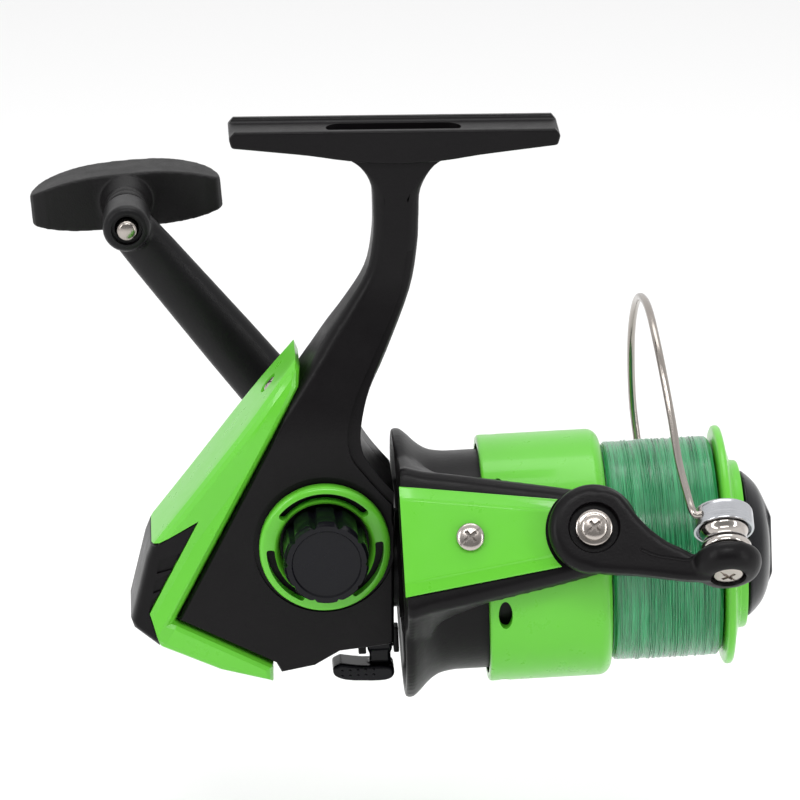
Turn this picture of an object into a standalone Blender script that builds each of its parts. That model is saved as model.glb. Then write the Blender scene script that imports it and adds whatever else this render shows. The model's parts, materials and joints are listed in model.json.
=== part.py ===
"""An open-face spinning reel of the 4000 size, modelled as the separate solids it is assembled from.

Sizes are in millimetres until a solid is finished, when it is scaled to metres. X points to the reel's front,
Z up to the rod, and Y from the bezel side to the handle side. The origin is the middle of the foot's seat.
"""

import math

import bmesh
import bpy
from mathutils import Matrix, Vector

MM = 0.001
WELD = 1e-4
GAP = 0.3
FULL_TURN = 2 * math.pi

# Rod foot and stem
FOOT_LENGTH = 70.4
FOOT_WIDTH = 14.0
FOOT_TIP_THICKNESS = 2.8
STEM_WIDTH = 11.0

# Gear case: its two halves meet at SPLIT
CASE_NEAR = -12.0
SPLIT = 4.0
CASE_FAR = 12.5
WALL = 2.0

# Handle axle, along Y
AXLE_X = -15.4
AXLE_Z = -89.5
AXLE_TUBE_RADIUS = 3.8
HANDLE_SHAFT_RADIUS = 2.4
BEARING_RADIUS = 6.6
ARM_PLANE = 63.6
CRANK_X = -56.9 - AXLE_X
CRANK_Z = -38.5 - AXLE_Z
KNOB_MIDDLE = 23.0

# Rotor axis: tipped up towards the front, through (0, 0, SHAFT_Z)
SHAFT_Z = -97.98
SHAFT_TILT = math.radians(2.5)
SHAFT_RADIUS = 2.0
ARM_RAISED = math.radians(27)

# Gears
FACE_TEETH = 36
PINION_TEETH = 7
PINION_RADIUS = 3.2
MODULE = 0.8
SMALL_TEETH = 14
SLOW_TEETH = 24
SLOW_X = -13.0
SLOW_Z = -7.9
CRANK_PIN_RADIUS = 5.5

# Rotor
FLARE_RADIUS = 29.4
NECK_RADIUS = 23.8
ROTOR_REAR = 0.9
NECK_FRONT = 33.0
ROTOR_ARM_INNER = 27.4
ROTOR_ARM_OUTER = 31.3
PIVOT_X = 41.7
ARM_HEAD_RADIUS = 8.8

# Bail
BAIL_INNER = 33.4
BAIL_OUTER = 37.6
BAIL_HEAD_RADIUS = 9.6
ROLLER_PLACE = (69.2, -34.8, 1.6)
ROLLER_LEAN = math.radians(20)
HOLDER_RADIUS = 6.5
ROLLER_RADIUS = 5.5
NOSE_RADIUS = 7.4
WIRE_RADIUS = 0.85

# Spool
SKIRT_REAR = 19.2
SKIRT_FRONT = 45.8
SKIRT_RADIUS = 26.8
SKIRT_WALL = 1.8
LINE_RADIUS = 23.9
ARBOR_RADIUS = 17.0
RIM_REAR = 70.3
RIM_FRONT = 72.3
RIM_RADIUS = 26.0
FRONT_RING_RADIUS = 18.3
FRONT_RING_END = 75.6
KNOB_FRONT = 82.3
KNOB_RADIUS = 15.9


def clear_scene():
    for obj in list(bpy.data.objects):
        bpy.data.objects.remove(obj, do_unlink=True)


def principled(name, colour, roughness, metallic=0.0):
    made = bpy.data.materials.new(name)
    made.use_nodes = True
    shader = made.node_tree.nodes["Principled BSDF"]
    shader.inputs["Base Color"].default_value = (*colour, 1.0)
    shader.inputs["Roughness"].default_value = roughness
    shader.inputs["Metallic"].default_value = metallic
    made.diffuse_color = (*colour, 1.0)
    return made


def empty(name, parent, place=(0, 0, 0), turn=(0, 0, 0)):
    """A frame that pieces hang on. Its place is in millimetres and its turn in radians."""
    made = bpy.data.objects.new(name, None)
    bpy.context.scene.collection.objects.link(made)
    made.parent = parent
    made.location = [value * MM for value in place]
    made.rotation_euler = turn
    return made


def solid(name, bm, parent, material, smooth=True):
    """Finishes a bmesh that is in millimetres and links it under its parent."""
    bmesh.ops.remove_doubles(bm, verts=bm.verts, dist=WELD)
    bmesh.ops.recalc_face_normals(bm, faces=bm.faces)
    bm.transform(Matrix.Scale(MM, 4))
    mesh = bpy.data.meshes.new(name)
    bm.to_mesh(mesh)
    bm.free()
    made = bpy.data.objects.new(name, mesh)
    bpy.context.scene.collection.objects.link(made)
    made.parent = parent
    mesh.materials.append(material)
    if smooth:
        mesh.shade_smooth()
        mesh.set_sharp_from_angle(angle=math.radians(35))
    return made


def combine(target, operation, bm, name):
    """Adds or cuts a hidden helper solid with an exact Boolean."""
    helper = solid(f"{target.name}_{name}", bm, target.parent, target.data.materials[0], smooth=False)
    helper.hide_render = True
    helper.display_type = "WIRE"
    modifier = target.modifiers.new(name, "BOOLEAN")
    modifier.operation = operation
    modifier.solver = "EXACT"
    modifier.object = helper


def cut(target, bm, name):
    combine(target, "DIFFERENCE", bm, name)


def add(target, bm, name):
    combine(target, "UNION", bm, name)


def turned(profile, steps=24):
    """Spins a closed outline of (along X, radius) points about X."""
    bm = bmesh.new()
    verts = [bm.verts.new((along, 0, radius)) for along, radius in profile]
    edges = []
    for first, second in zip(verts, verts[1:] + verts[:1]):
        if max(first.co.z, second.co.z) > WELD:
            edges.append(bm.edges.new((first, second)))
    bmesh.ops.spin(bm, geom=verts + edges, cent=(0, 0, 0), axis=(1, 0, 0), angle=FULL_TURN, steps=steps,
                   use_merge=True)
    bmesh.ops.remove_doubles(bm, verts=bm.verts, dist=WELD)
    return bm


def tube(start, end, outer, inner=0.0, steps=24):
    return turned([(start, inner), (end, inner), (end, outer), (start, outer)], steps)


def across(bm, x, z):
    """Turns a solid made along X to lie along Y, through the point x, z."""
    bmesh.ops.rotate(bm, verts=bm.verts, cent=(0, 0, 0), matrix=Matrix.Rotation(math.pi / 2, 3, "Z"))
    bmesh.ops.translate(bm, verts=bm.verts, vec=(x, 0, z))
    return bm


def extruded(bm, faces, keep_start=False):
    """Extrudes faces in place and returns the new faces and their vertices, which the caller then moves."""
    grown = bmesh.ops.extrude_face_region(bm, geom=faces)["geom"]
    if not keep_start:
        bmesh.ops.delete(bm, geom=faces, context="FACES")
    ends = [item for item in grown if isinstance(item, bmesh.types.BMFace)]
    verts = [item for item in grown if isinstance(item, bmesh.types.BMVert)]
    return ends, verts


def prism(outline, near, far):
    """Extrudes an outline of (x, z) points along Y."""
    bm = bmesh.new()
    face = bm.faces.new([bm.verts.new((x, near, z)) for x, z in outline])
    moved = extruded(bm, [face], keep_start=True)[1]
    bmesh.ops.translate(bm, verts=moved, vec=(0, far - near, 0))
    bmesh.ops.recalc_face_normals(bm, faces=bm.faces)
    return bm


def block(low, high):
    outline = [(low[0], low[2]), (high[0], low[2]), (high[0], high[2]), (low[0], high[2])]
    return prism(outline, low[1], high[1])


def rounded(bm, width, segments=3, keep=None):
    """Bevels the sharp edges, or those that the keep test picks."""
    edges = [edge for edge in bm.edges if edge.calc_face_angle(0) > math.radians(40)]
    if keep:
        edges = [edge for edge in edges if keep(edge)]
    bmesh.ops.bevel(bm, geom=edges, offset=width, affect="EDGES", segments=segments, profile=0.5, material=-1,
                     clamp_overlap=True)
    return bm


def along_y(edge):
    first, second = (vert.co for vert in edge.verts)
    return abs(first.y - second.y) > 0.9 * (first - second).length


def arc(x, z, radius, start, end, count):
    """Points on a circle, with its angles in degrees."""
    turns = [math.radians(start + (end - start) * step / count) for step in range(count + 1)]
    return [(x + radius * math.cos(turn), z + radius * math.sin(turn)) for turn in turns]


def inset(outline, gap):
    """Moves each side of a clockwise outline inwards by gap."""
    moved = []
    count = len(outline)
    for index, (x, z) in enumerate(outline):
        before = outline[index - 1]
        after = outline[(index + 1) % count]
        first = math.atan2(z - before[1], x - before[0])
        second = math.atan2(after[1] - z, after[0] - x)
        normal = ((math.sin(first) + math.sin(second)) / 2, -(math.cos(first) + math.cos(second)) / 2)
        size = normal[0] ** 2 + normal[1] ** 2
        moved.append((x + gap * normal[0] / size, z + gap * normal[1] / size))
    return moved


def screw(name, parent, material, head_radius, head_height, shank_radius, length, place, turn, slots=2):
    """A pan-head screw, with a crossed slot where it shows. Its head is at local +X, its shank runs back."""
    profile = [(-length, 0), (-length, shank_radius), (0, shank_radius), (0, head_radius),
               (0.45 * head_height, head_radius), (0.85 * head_height, 0.72 * head_radius), (head_height, 0)]
    made = solid(name, turned(profile, 12), parent, material)
    for index in range(slots):
        slot = block((0.5 * head_height, -0.62 * head_radius, -0.13 * head_radius),
                     (1.5 * head_height, 0.62 * head_radius, 0.13 * head_radius))
        bmesh.ops.rotate(slot, verts=slot.verts, cent=(0, 0, 0),
                         matrix=Matrix.Rotation(math.pi / 4 + index * math.pi / 2, 3, "X"))
        cut(made, slot, f"slot_{index + 1}")
    for item in [made] + [modifier.object for modifier in made.modifiers]:
        item.location = [value * MM for value in place]
        item.rotation_euler = turn
    return made


def spur_outline(teeth, phase):
    """A spur gear's outline, with straight-sided teeth that leave backlash."""
    pitch_radius = MODULE * teeth / 2
    points = []
    for index in range(teeth):
        middle = 360 * index / teeth + phase
        step = 360 / teeth
        for offset, radius in ((-0.27, -0.85), (-0.11, 0.6), (0.11, 0.6), (0.27, -0.85)):
            turn = math.radians(middle + offset * step)
            size = pitch_radius + radius * MODULE
            points.append((size * math.cos(turn), size * math.sin(turn)))
    return points


CASE = [(-7.4, -62.0), (-7.4, -69.5), (-0.4, -77.5), (-0.4, -112.6), (-2.3, -112.9), (-12.1, -114.2),
        (-17.5, -117.4), (-24.5, -118.9), (-26.0, -116.6), (-47.4, -106.4), (-20.6, -54.4), (-13.0, -50.0)]


def case_outline(gap=0.0):
    return inset(CASE, gap)


def foot_outline():
    half = FOOT_LENGTH / 2
    return [(-half + 1.2, 1.0), (half - 1.2, 1.0), (half, -0.2), (half - 0.6, -FOOT_TIP_THICKNESS),
            (26.7, -3.8), (12.9, -5.0), (-10.5, -5.0), (-20.0, -3.8), (-half + 0.6, -FOOT_TIP_THICKNESS),
            (-half, -0.2)]


def stem_outline():
    left = [(-10.5, -3.4), (-7.0, -7.0), (-4.8, -11.5), (-4.4, -18.0), (-4.6, -24.0), (-5.8, -31.0),
            (-10.6, -39.5), (-18.8, -49.8), (-19.4, -56.0)]
    right = [(-8.4, -72.0), (-7.4, -64.0), (-5.8, -56.0), (-2.0, -48.0), (2.8, -36.0), (4.9, -25.0),
             (5.2, -18.0), (5.4, -12.5), (8.6, -6.6), (12.9, -3.4)]
    return right[::-1] + [(-14.0, -76.0)] + left[::-1]


LEVER_AXIS = -18.2
LEVER_EARS = ((-8.6, -6.9), (-0.9, 0.3))


def foot_and_case(parent, material):
    """Foot, stem and near half of the gear case: one casting, open to the handle side."""
    housing = solid("body_housing", prism(case_outline(), CASE_NEAR, SPLIT), parent, material)
    cut(housing, prism(case_outline(WALL), CASE_NEAR + WALL, SPLIT + 1), "gear_chamber")
    stem = prism(stem_outline(), -STEM_WIDTH / 2, STEM_WIDTH / 2)
    rounded(stem, 2.4, 3, lambda edge: not along_y(edge))
    chamber = prism(case_outline(WALL + 0.15), -20, 20)
    add(housing, stem, "stem")
    cut(housing, chamber_below_stem(chamber), "stem_end")
    add(housing, prism(foot_outline(), -FOOT_WIDTH / 2, FOOT_WIDTH / 2), "foot")
    trough = rounded(block((-40, -FOOT_WIDTH / 2 + 1.6, 0), (40, FOOT_WIDTH / 2 - 1.6, 3)), 1.2, 2,
                     lambda edge: edge.verts[0].co.z < 1 and edge.verts[1].co.z < 1 and not along_y(edge))
    cut(housing, trough, "trough")
    cut(housing, pocket(), "pocket")
    add(housing, across(tube(CASE_NEAR + 0.7, -7.4, BEARING_RADIUS + 1.8), AXLE_X, AXLE_Z), "bearing_boss")
    cut(housing, across(tube(CASE_NEAR - 1, -7, BEARING_RADIUS + 0.2, steps=27), AXLE_X, AXLE_Z), "axle_bore")
    nose = turned([(-2.0, 0), (-2.0, 9.5), (0.6, 9.5), (0.6, 12.0), (8.8, 10.4), (8.8, 0)])
    add(housing, on_shaft(nose), "clutch_housing")
    cut(housing, on_shaft(tube(-5, 12, 7.9, steps=22)), "pinion_bore")
    for start, end in LEVER_EARS:
        ear = block((start, -1.8, LEVER_AXIS - 1.9), (end, 1.8, LEVER_AXIS + 3.9))
        add(housing, on_shaft(ear), f"lever_ear_{end:.0f}")
    pin = tube(LEVER_EARS[0][1] - 0.5, LEVER_EARS[1][0] + 0.5, 0.9, steps=14)
    bmesh.ops.translate(pin, verts=pin.verts, vec=(0, 0, LEVER_AXIS))
    add(housing, on_shaft(pin), "lever_pin")
    return housing


def chamber_below_stem(bm):
    """Keeps only the part of the chamber that is below the stem's root."""
    geom = bm.verts[:] + bm.edges[:] + bm.faces[:]
    cutting = bmesh.ops.bisect_plane(bm, geom=geom, plane_co=(0, 0, -60.0), plane_no=(0, 0, 1),
                                     clear_outer=True)
    edges = [item for item in cutting["geom_cut"] if isinstance(item, bmesh.types.BMEdge)]
    bmesh.ops.holes_fill(bm, edges=edges)
    for vert in bm.verts:
        vert.co.y = CASE_NEAR + WALL + 0.15 if vert.co.y < 0 else SPLIT + 5
    return bm


def pocket():
    """The long shallow recess in the middle of the foot's seat."""
    outline = arc(11.0, 0, 3.4, 90, -90, 10) + arc(-11.0, 0, 3.4, -90, -270, 10)
    bm = prism(outline, -2.0, 2.0)
    bmesh.ops.rotate(bm, verts=bm.verts, cent=(0, 0, 0), matrix=Matrix.Rotation(math.pi / 2, 3, "X"))
    return bm


def on_shaft(bm):
    """Moves a solid made about X onto the tipped rotor axis, in the body's frame."""
    bmesh.ops.rotate(bm, verts=bm.verts, cent=(0, 0, 0), matrix=Matrix.Rotation(-SHAFT_TILT, 3, "Y"))
    bmesh.ops.translate(bm, verts=bm.verts, vec=(0, 0, SHAFT_Z))
    return bm


STEM_ROOT = [(-4.0, -54.0), (-6.9, -64.0), (-7.9, -72.7), (-14.1, -76.8), (-22.8, -56.2), (-21.0, -50.0)]
SIDE_SCREWS = [(-10.6, -62.5), (-42.0, -103.2), (-4.2, -108.8)]


def side_cover(parent, material, steel):
    """Far half of the gear case, a shell held by three screws."""
    lid = [(-7.4, -60.6)] + CASE[1:10] + [(-21.4, -56.0), (-18.2, -58.6)]
    shell = rounded(prism(lid, SPLIT + GAP, CASE_FAR), 1.6, 2,
                    lambda edge: edge.verts[0].co.y > 9 and edge.verts[1].co.y > 9)
    cover = solid("side_cover", shell, parent, material)
    cut(cover, prism(inset(lid, WALL), SPLIT, CASE_FAR - WALL), "gear_room")
    add(cover, across(tube(8.4, 14.6, BEARING_RADIUS + 1.8), AXLE_X, AXLE_Z), "bearing_boss")
    cut(cover, across(tube(7.6, 16, BEARING_RADIUS + 0.2, steps=27), AXLE_X, AXLE_Z), "axle_bore")
    cut(cover, prism(STEM_ROOT, -6, STEM_WIDTH / 2 + GAP), "stem_clearance")
    cut(cover, on_shaft(tube(-5.5, 3, 9.9, steps=26)), "clutch_clearance")
    for index, (x, z) in enumerate(SIDE_SCREWS):
        add(cover, across(tube(SPLIT + 2.4, CASE_FAR - 1, 2.6, steps=16), x, z), f"screw_boss_{index + 1}")
        cut(cover, across(tube(SPLIT - 1, CASE_FAR + 1, 1.3, steps=12), x, z), f"screw_hole_{index + 1}")
        screw(f"side_cover_screw_{index + 1}", parent, steel, 2.4, 1.5, 1.0, 5.8,
              (x, CASE_FAR + 0.2, z), (0, 0, math.pi / 2), slots=1)
    return cover


REAR_OUTER = [(-21.4, -49.2), (-19.9, -52.4), (-19.9, -55.4), (-43.5, -104.4), (-26.4, -113.0),
              (-26.4, -121.2), (-38.0, -118.4), (-50.9, -112.6), (-56.6, -108.2), (-57.2, -106.4),
              (-53.7, -92.0), (-52.6, -89.0), (-31.0, -61.6)]
BUMPER = [(-60.0, -90.4), (-51.0, -88.6), (-43.4, -84.6), (-53.0, -104.6), (-50.4, -112.8), (-60.0, -116.0)]


def rear_cover(parent, green, black, steel):
    """Green shell round the back of the case, and the bumper set into it."""
    bm = rounded(prism(REAR_OUTER, CASE_NEAR - 0.2, CASE_FAR + 0.2), 3.4, 2, rear_rim)
    cover = solid("rear_cover", bm, parent, green)
    cut(cover, prism(case_outline(-GAP), -20, 20), "case_clearance")
    hollow = [(-22.0, -55.4), (-22.0, -60.0), (-45.5, -105.0), (-47.2, -109.7), (-48.6, -109.2), (-53.2, -104.6),
              (-50.0, -91.0), (-30.6, -66.0), (-23.6, -56.2)]
    cut(cover, prism(hollow, CASE_NEAR + 2.0, CASE_FAR - 2.0), "hollow")
    cut(cover, prism(BUMPER, -20, 20), "bumper_seat")
    bumper = solid("rear_bumper", rounded(prism(REAR_OUTER, -11.8, 12.1), 2.8, 2, rear_rim), parent, black)
    keep = inset(BUMPER, GAP)
    combine(bumper, "INTERSECT", prism(keep, -20, 20), "outline")
    cut(bumper, prism([(-40, -80), (-40, -96.5), (-48.0, -109.5), (-52.6, -107.6), (-54.3, -98.0),
                       (-51.6, -91.4)], -9.4, 9.7), "hollow")
    for index in range(3):
        low = -92.8 - 4.4 * index
        left = -50.6 - 0.9 * index
        recess = [(left, low), (left + 4.4 - 1.1 * index, low + 1.7), (left + 2.9 - 0.9 * index, low - 1.9),
                  (left - 0.4, low - 2.9)]
        cut(bumper, prism(recess, -14, -11.0), f"recess_{index + 1}")
    place, tip = (-27.0, -0.8, -56.4), math.radians(-142.8)
    seat = Matrix.Translation(place) @ Matrix.Rotation(tip, 4, "Y")
    for target in (cover, bpy.data.objects["body_housing"]):
        bore = turned([(-9, 0), (-9, 1.3), (-1.2, 1.3), (-1.2, 2.5), (6, 2.5), (6, 0)], 16)
        bore.transform(seat)
        cut(target, bore, "rear_screw_seat")
    place = seat @ Vector((-0.9, 0, 0))
    screw("rear_cover_screw", parent, steel, 1.9, 1.1, 0.9, 5.0, place, (0, tip, 0), slots=1)
    return cover


def rear_rim(edge):
    """The long edges at each side of the rear cover's back."""
    first, second = (vert.co for vert in edge.verts)
    outside = max(first.x + 0.55 * first.z, second.x + 0.55 * second.z) < -47
    return outside and not along_y(edge)


def face_gear(frame, steel):
    """Gear with teeth on its face, on the hollow axle that carries the handle shaft."""
    profile = [(8.2, HANDLE_SHAFT_RADIUS + 0.2), (8.2, AXLE_TUBE_RADIUS), (-4.8, AXLE_TUBE_RADIUS),
               (-4.8, 9.9), (-4.8, 12.7), (-7.0, 12.7),
               (-7.0, AXLE_TUBE_RADIUS), (-11.4, AXLE_TUBE_RADIUS - 0.9), (-11.4, HANDLE_SHAFT_RADIUS + 0.2)]
    bm = turned(profile, 2 * FACE_TEETH)
    teeth = []
    for face in bm.faces:
        middle = face.calc_center_median()
        radius = math.hypot(middle.y, middle.z)
        turn = math.atan2(middle.z, middle.y) % FULL_TURN
        if abs(middle.x + 4.8) < 0.01 and radius > 10 and int(turn / FULL_TURN * 2 * FACE_TEETH) % 2 == 0:
            teeth.append(face)
    tips = extruded(bm, teeth)[1]
    bmesh.ops.translate(bm, verts=tips, vec=(1.1, 0, 0))
    return solid("drive_gear", bm, frame, steel, smooth=False)


def helical_pinion(frame, brass):
    """Seven-tooth helical pinion with the sleeve that carries the rotor."""
    bm = bmesh.new()
    outline = []
    for index in range(PINION_TEETH):
        middle = 360 * index / PINION_TEETH
        for offset, radius in ((-17, PINION_RADIUS - 0.45), (-7, PINION_RADIUS + 0.3), (7, PINION_RADIUS + 0.3),
                               (17, PINION_RADIUS - 0.45)):
            turn = math.radians(middle + offset)
            outline.append((-12.0, radius * math.cos(turn), radius * math.sin(turn)))
    bore = []
    for _, y, z in outline:
        size = math.hypot(y, z)
        bore.append((-12.0, 2.35 * y / size, 2.35 * z / size))
    rings = []
    for points in (outline, bore):
        verts = [bm.verts.new(point) for point in points]
        rings.append([bm.edges.new(pair) for pair in zip(verts, verts[1:] + verts[:1])])
    ends = bmesh.ops.bridge_loops(bm, edges=rings[0] + rings[1])["faces"]
    steps = 6
    for step in range(steps):
        ends, verts = extruded(bm, ends, keep_start=step == 0)
        bmesh.ops.translate(bm, verts=verts, vec=(9.2 / steps, 0, 0))
        bmesh.ops.rotate(bm, verts=verts, cent=(0, 0, 0),
                         matrix=Matrix.Rotation(9.2 / steps / PINION_RADIUS, 3, "X"))
    pinion = solid("pinion_gear", bm, frame, brass)
    add(pinion, tube(-2.9, 17.0, 3.6, 2.25, 18), "sleeve")
    return pinion


def oscillation(parent, brass, black, steel):
    """The slow gear, whose crank pin drives the slider that moves the main shaft."""
    slow_x = AXLE_X + SLOW_X
    slow_z = AXLE_Z + SLOW_Z
    line_up = math.degrees(math.atan2(SLOW_Z, SLOW_X))
    axle = empty("axle_spur_frame", parent, (AXLE_X, 0, AXLE_Z))
    teeth = prism(spur_outline(SMALL_TEETH, line_up), 5.0, 7.6)
    small = solid("oscillation_pinion", teeth, axle, brass, smooth=False)
    cut(small, across(tube(4, 9, AXLE_TUBE_RADIUS + 0.15), 0, 0), "bore")
    frame = empty("oscillation_frame", parent, (slow_x, 0, slow_z))
    half_tooth = 180 / SLOW_TEETH
    slow = solid("oscillation_gear", prism(spur_outline(SLOW_TEETH, line_up + 180 + half_tooth), 5.0, 7.2),
                 frame, black, smooth=False)
    add(slow, across(tube(4.5, 5.4, 1.2, steps=20), -CRANK_PIN_RADIUS, 0), "crank_pin")
    add(slow, across(tube(7.0, 10.2, 1.6, steps=20), 0, 0), "pivot")
    slider_x = slow_x - CRANK_PIN_RADIUS
    centre_z = SHAFT_Z + slider_x * math.tan(SHAFT_TILT)
    bar = block((slider_x - 2.4, -3.2, centre_z - 6.4), (slider_x + 2.4, 4.2, -90.8))
    slider = solid("oscillation_slider", bar, parent, black, smooth=False)
    cut(slider, block((slider_x - 1.4, 2.4, centre_z - 5.2), (slider_x + 1.4, 5, -91.9)), "cross_slot")
    cut(slider, on_shaft(tube(-45, -20, SHAFT_RADIUS + 0.1, steps=24)), "shaft_bore")
    below = (slider_x, 0, centre_z - 7.8)
    screw("slider_screw", parent, steel, 1.7, 0.9, 0.8, 1.0, below, (0, math.pi / 2, 0), slots=0)
    return slider


def handle(axle, crank, metal, steel, black):
    """Shaft, cap, cranked arm, spindle and grip, all about local X, which is the world's Y."""
    shaft_end = ARM_PLANE + 4.0
    shaft = [(-22.0, 0), (-22.0, HANDLE_SHAFT_RADIUS), (shaft_end, HANDLE_SHAFT_RADIUS), (shaft_end, 0)]
    solid("handle_shaft", turned(shaft, 6), axle, steel, smooth=False)
    scallops = 10
    points = []
    for index in range(scallops):
        middle = 360 * index / scallops
        for offset, radius in ((-13, 9.0), (0, 9.1), (13, 9.0), (15.5, 8.4), (20.5, 8.4)):
            turn = math.radians(middle + offset)
            points.append((radius * math.cos(turn), radius * math.sin(turn)))
    bm = prism(points, 12.8, 25.0)
    bmesh.ops.rotate(bm, verts=bm.verts, cent=(0, 0, 0), matrix=Matrix.Rotation(math.pi / 2, 3, "Z"))
    bmesh.ops.recalc_face_normals(bm, faces=bm.faces)
    cap = solid("handle_cap", bm, axle, black)
    cut(cap, tube(-23.2, -10, HANDLE_SHAFT_RADIUS + 0.2, steps=24), "shaft_bore")
    cut(cap, turned([(-26, 7.4), (-26, 20), (-20.6, 20), (-24.4, 8.6), (-25.2, 7.9)], 32), "rounding")
    handle_arm(axle, crank, metal)
    end = KNOB_MIDDLE + 3.0
    profile = [(-7.2, 0), (-7.2, 2.2), (-6.0, 2.6), (6.9, 2.6), (6.9, 2.0), (end, 2.0), (end, 0)]
    solid("knob_spindle", turned(profile, 24), crank, steel)
    return cap


def handle_arm(axle, crank, metal):
    """An oval bar from the axle's hub to the knob's boss, made as one loft of ovals."""
    length = math.hypot(CRANK_X, CRANK_Z)
    lean = math.atan2(CRANK_Z, -CRANK_X)
    bm = bmesh.new()
    stations = [(-7.2, 4.4, 2.6), (-5.4, 6.6, 3.8), (0, 7.0, 4.4), (30, 6.5, 4.2), (60, 5.7, 3.8),
                (length, 5.4, 3.6), (length + 4.2, 4.8, 3.2), (length + 5.4, 3.0, 2.0)]
    count = 16
    rings = []
    for reach, half_width, half_depth in stations:
        ring = bmesh.ops.create_circle(bm, segments=count, radius=1.0)["verts"]
        bmesh.ops.scale(bm, verts=ring, vec=(half_width, half_depth, 1))
        bmesh.ops.translate(bm, verts=ring, vec=(0, 0, reach))
        rings.append([edge for edge in bm.edges if edge.verts[0] in ring and edge.verts[1] in ring])
    for first, second in zip(rings, rings[1:]):
        bmesh.ops.bridge_loops(bm, edges=first + second)
    for ring in (rings[0], rings[-1]):
        bmesh.ops.edgeloop_fill(bm, edges=ring)
    turn = Matrix.Rotation(math.pi / 2, 4, "Z")
    lay = Matrix.Rotation(-(math.pi / 2 - lean), 4, "Y")
    bm.transform(Matrix.Translation((ARM_PLANE, 0, 0)) @ turn.inverted() @ lay)
    arm = solid("handle_arm", bm, axle, metal)
    add(arm, tube(CASE_FAR + 2.4, ARM_PLANE - 1.0, 5.4), "hub")
    cut(arm, tube(CASE_FAR, ARM_PLANE + 13, HANDLE_SHAFT_RADIUS + 0.2, steps=24), "shaft_bore")
    boss_y, boss_z = -CRANK_X, CRANK_Z
    boss = tube(ARM_PLANE - 6.0, ARM_PLANE + 5.6, 5.4)
    bmesh.ops.translate(boss, verts=boss.verts, vec=(0, boss_y, boss_z))
    add(arm, boss, "knob_boss")
    near, step, far = ARM_PLANE - 17, ARM_PLANE - 4.5, ARM_PLANE + 13
    bore = turned([(near, 0), (near, 3.2), (step, 3.2), (step, 2.8), (far, 2.8), (far, 0)], 16)
    bmesh.ops.translate(bore, verts=bore.verts, vec=(0, boss_y, boss_z))
    cut(arm, bore, "spindle_bore")


def knob(frame, rubber):
    """T-shaped grip that spins on the spindle. Its bar is crossways to the spindle."""
    bm = bmesh.new()
    bmesh.ops.create_uvsphere(bm, u_segments=24, v_segments=12, radius=1.0)
    for vert in bm.verts:
        bulge = 1.0 - 0.28 * math.cos(math.pi * vert.co.y) * (1 - vert.co.y ** 2)
        vert.co.x = math.copysign(abs(vert.co.x) ** 0.7, vert.co.x) * 7.4
        vert.co.z = math.copysign(abs(vert.co.z) ** 0.7, vert.co.z) * 6.6 * bulge
        vert.co.y = math.copysign(abs(vert.co.y) ** 0.85, vert.co.y) * 21.6
    bmesh.ops.translate(bm, verts=bm.verts, vec=(KNOB_MIDDLE, 0, 0))
    grip = solid("knob_grip", bm, frame, rubber)
    stem = turned([(7.2, 0), (7.2, 4.9), (9.6, 4.9), (11.0, 4.3), (14.0, 4.5), (17.0, 5.8), (KNOB_MIDDLE, 5.8),
                   (KNOB_MIDDLE, 0)], 20)
    add(grip, stem, "stem")
    cut(grip, tube(0, KNOB_MIDDLE + 3.4, 2.2, steps=24), "spindle_bore")
    return grip


def rotor(frame, black):
    """Bell, neck, web and the two arms that carry the bail."""
    bell = [(ROTOR_REAR, 27.6), (ROTOR_REAR, FLARE_RADIUS - 0.7), (1.7, FLARE_RADIUS), (3.3, FLARE_RADIUS - 0.2),
            (5.0, 27.0), (7.2, 25.0), (10.0, NECK_RADIUS), (NECK_FRONT, NECK_RADIUS), (NECK_FRONT, NECK_RADIUS - 1.8),
            (14.4, NECK_RADIUS - 1.8), (14.4, 9.0), (12.0, 3.8), (11.2, 3.8), (11.2, NECK_RADIUS - 1.8),
            (7.0, NECK_RADIUS - 1.2), (4.0, 24.6), (2.2, 26.6)]
    made = solid("rotor", turned(bell, 40), frame, black)
    for side, name in ((-1, "near"), (1, "far")):
        outline = [(2.4, -16.6), (6, -15.6), (20, -13.0), (35.0, -10.2)]
        outline += arc(PIVOT_X, 0, ARM_HEAD_RADIUS, -75, 75, 10)
        outline += [(x, -z) for x, z in outline[3::-1]]
        inner, outer = sorted((side * ROTOR_ARM_INNER, side * ROTOR_ARM_OUTER))
        arm = prism(outline, inner, outer)
        rounded(arm, 1.4, 2, lambda edge, edge_side=side: on_outer_face(edge, edge_side))
        add(made, arm, f"{name}_arm")
        low, high = sorted((side * 24.0, side * 28.4))
        add(made, prism([(2.0, -14.0), (9.5, -12.5), (9.5, 12.5), (2.0, 14.0)], low, high), f"{name}_web")
        low, high = sorted((side * (ROTOR_ARM_INNER + 1.2), side * (ROTOR_ARM_OUTER + 1)))
        cut(made, prism([(4.4, -6.8), (30, -4.8), (30, 4.8), (4.4, 6.8)], low, high), f"{name}_pocket")
        pivot_hole = tube(*sorted((side * 20, side * 40)), 1.9, steps=24)
        cut(made, across(pivot_hole, PIVOT_X, 0), f"{name}_pivot_hole")
    return made


def on_outer_face(edge, side):
    first, second = (vert.co for vert in edge.verts)
    return min(side * first.y, side * second.y) > ROTOR_ARM_OUTER - 0.01 and max(first.x, second.x) > 3


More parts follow.
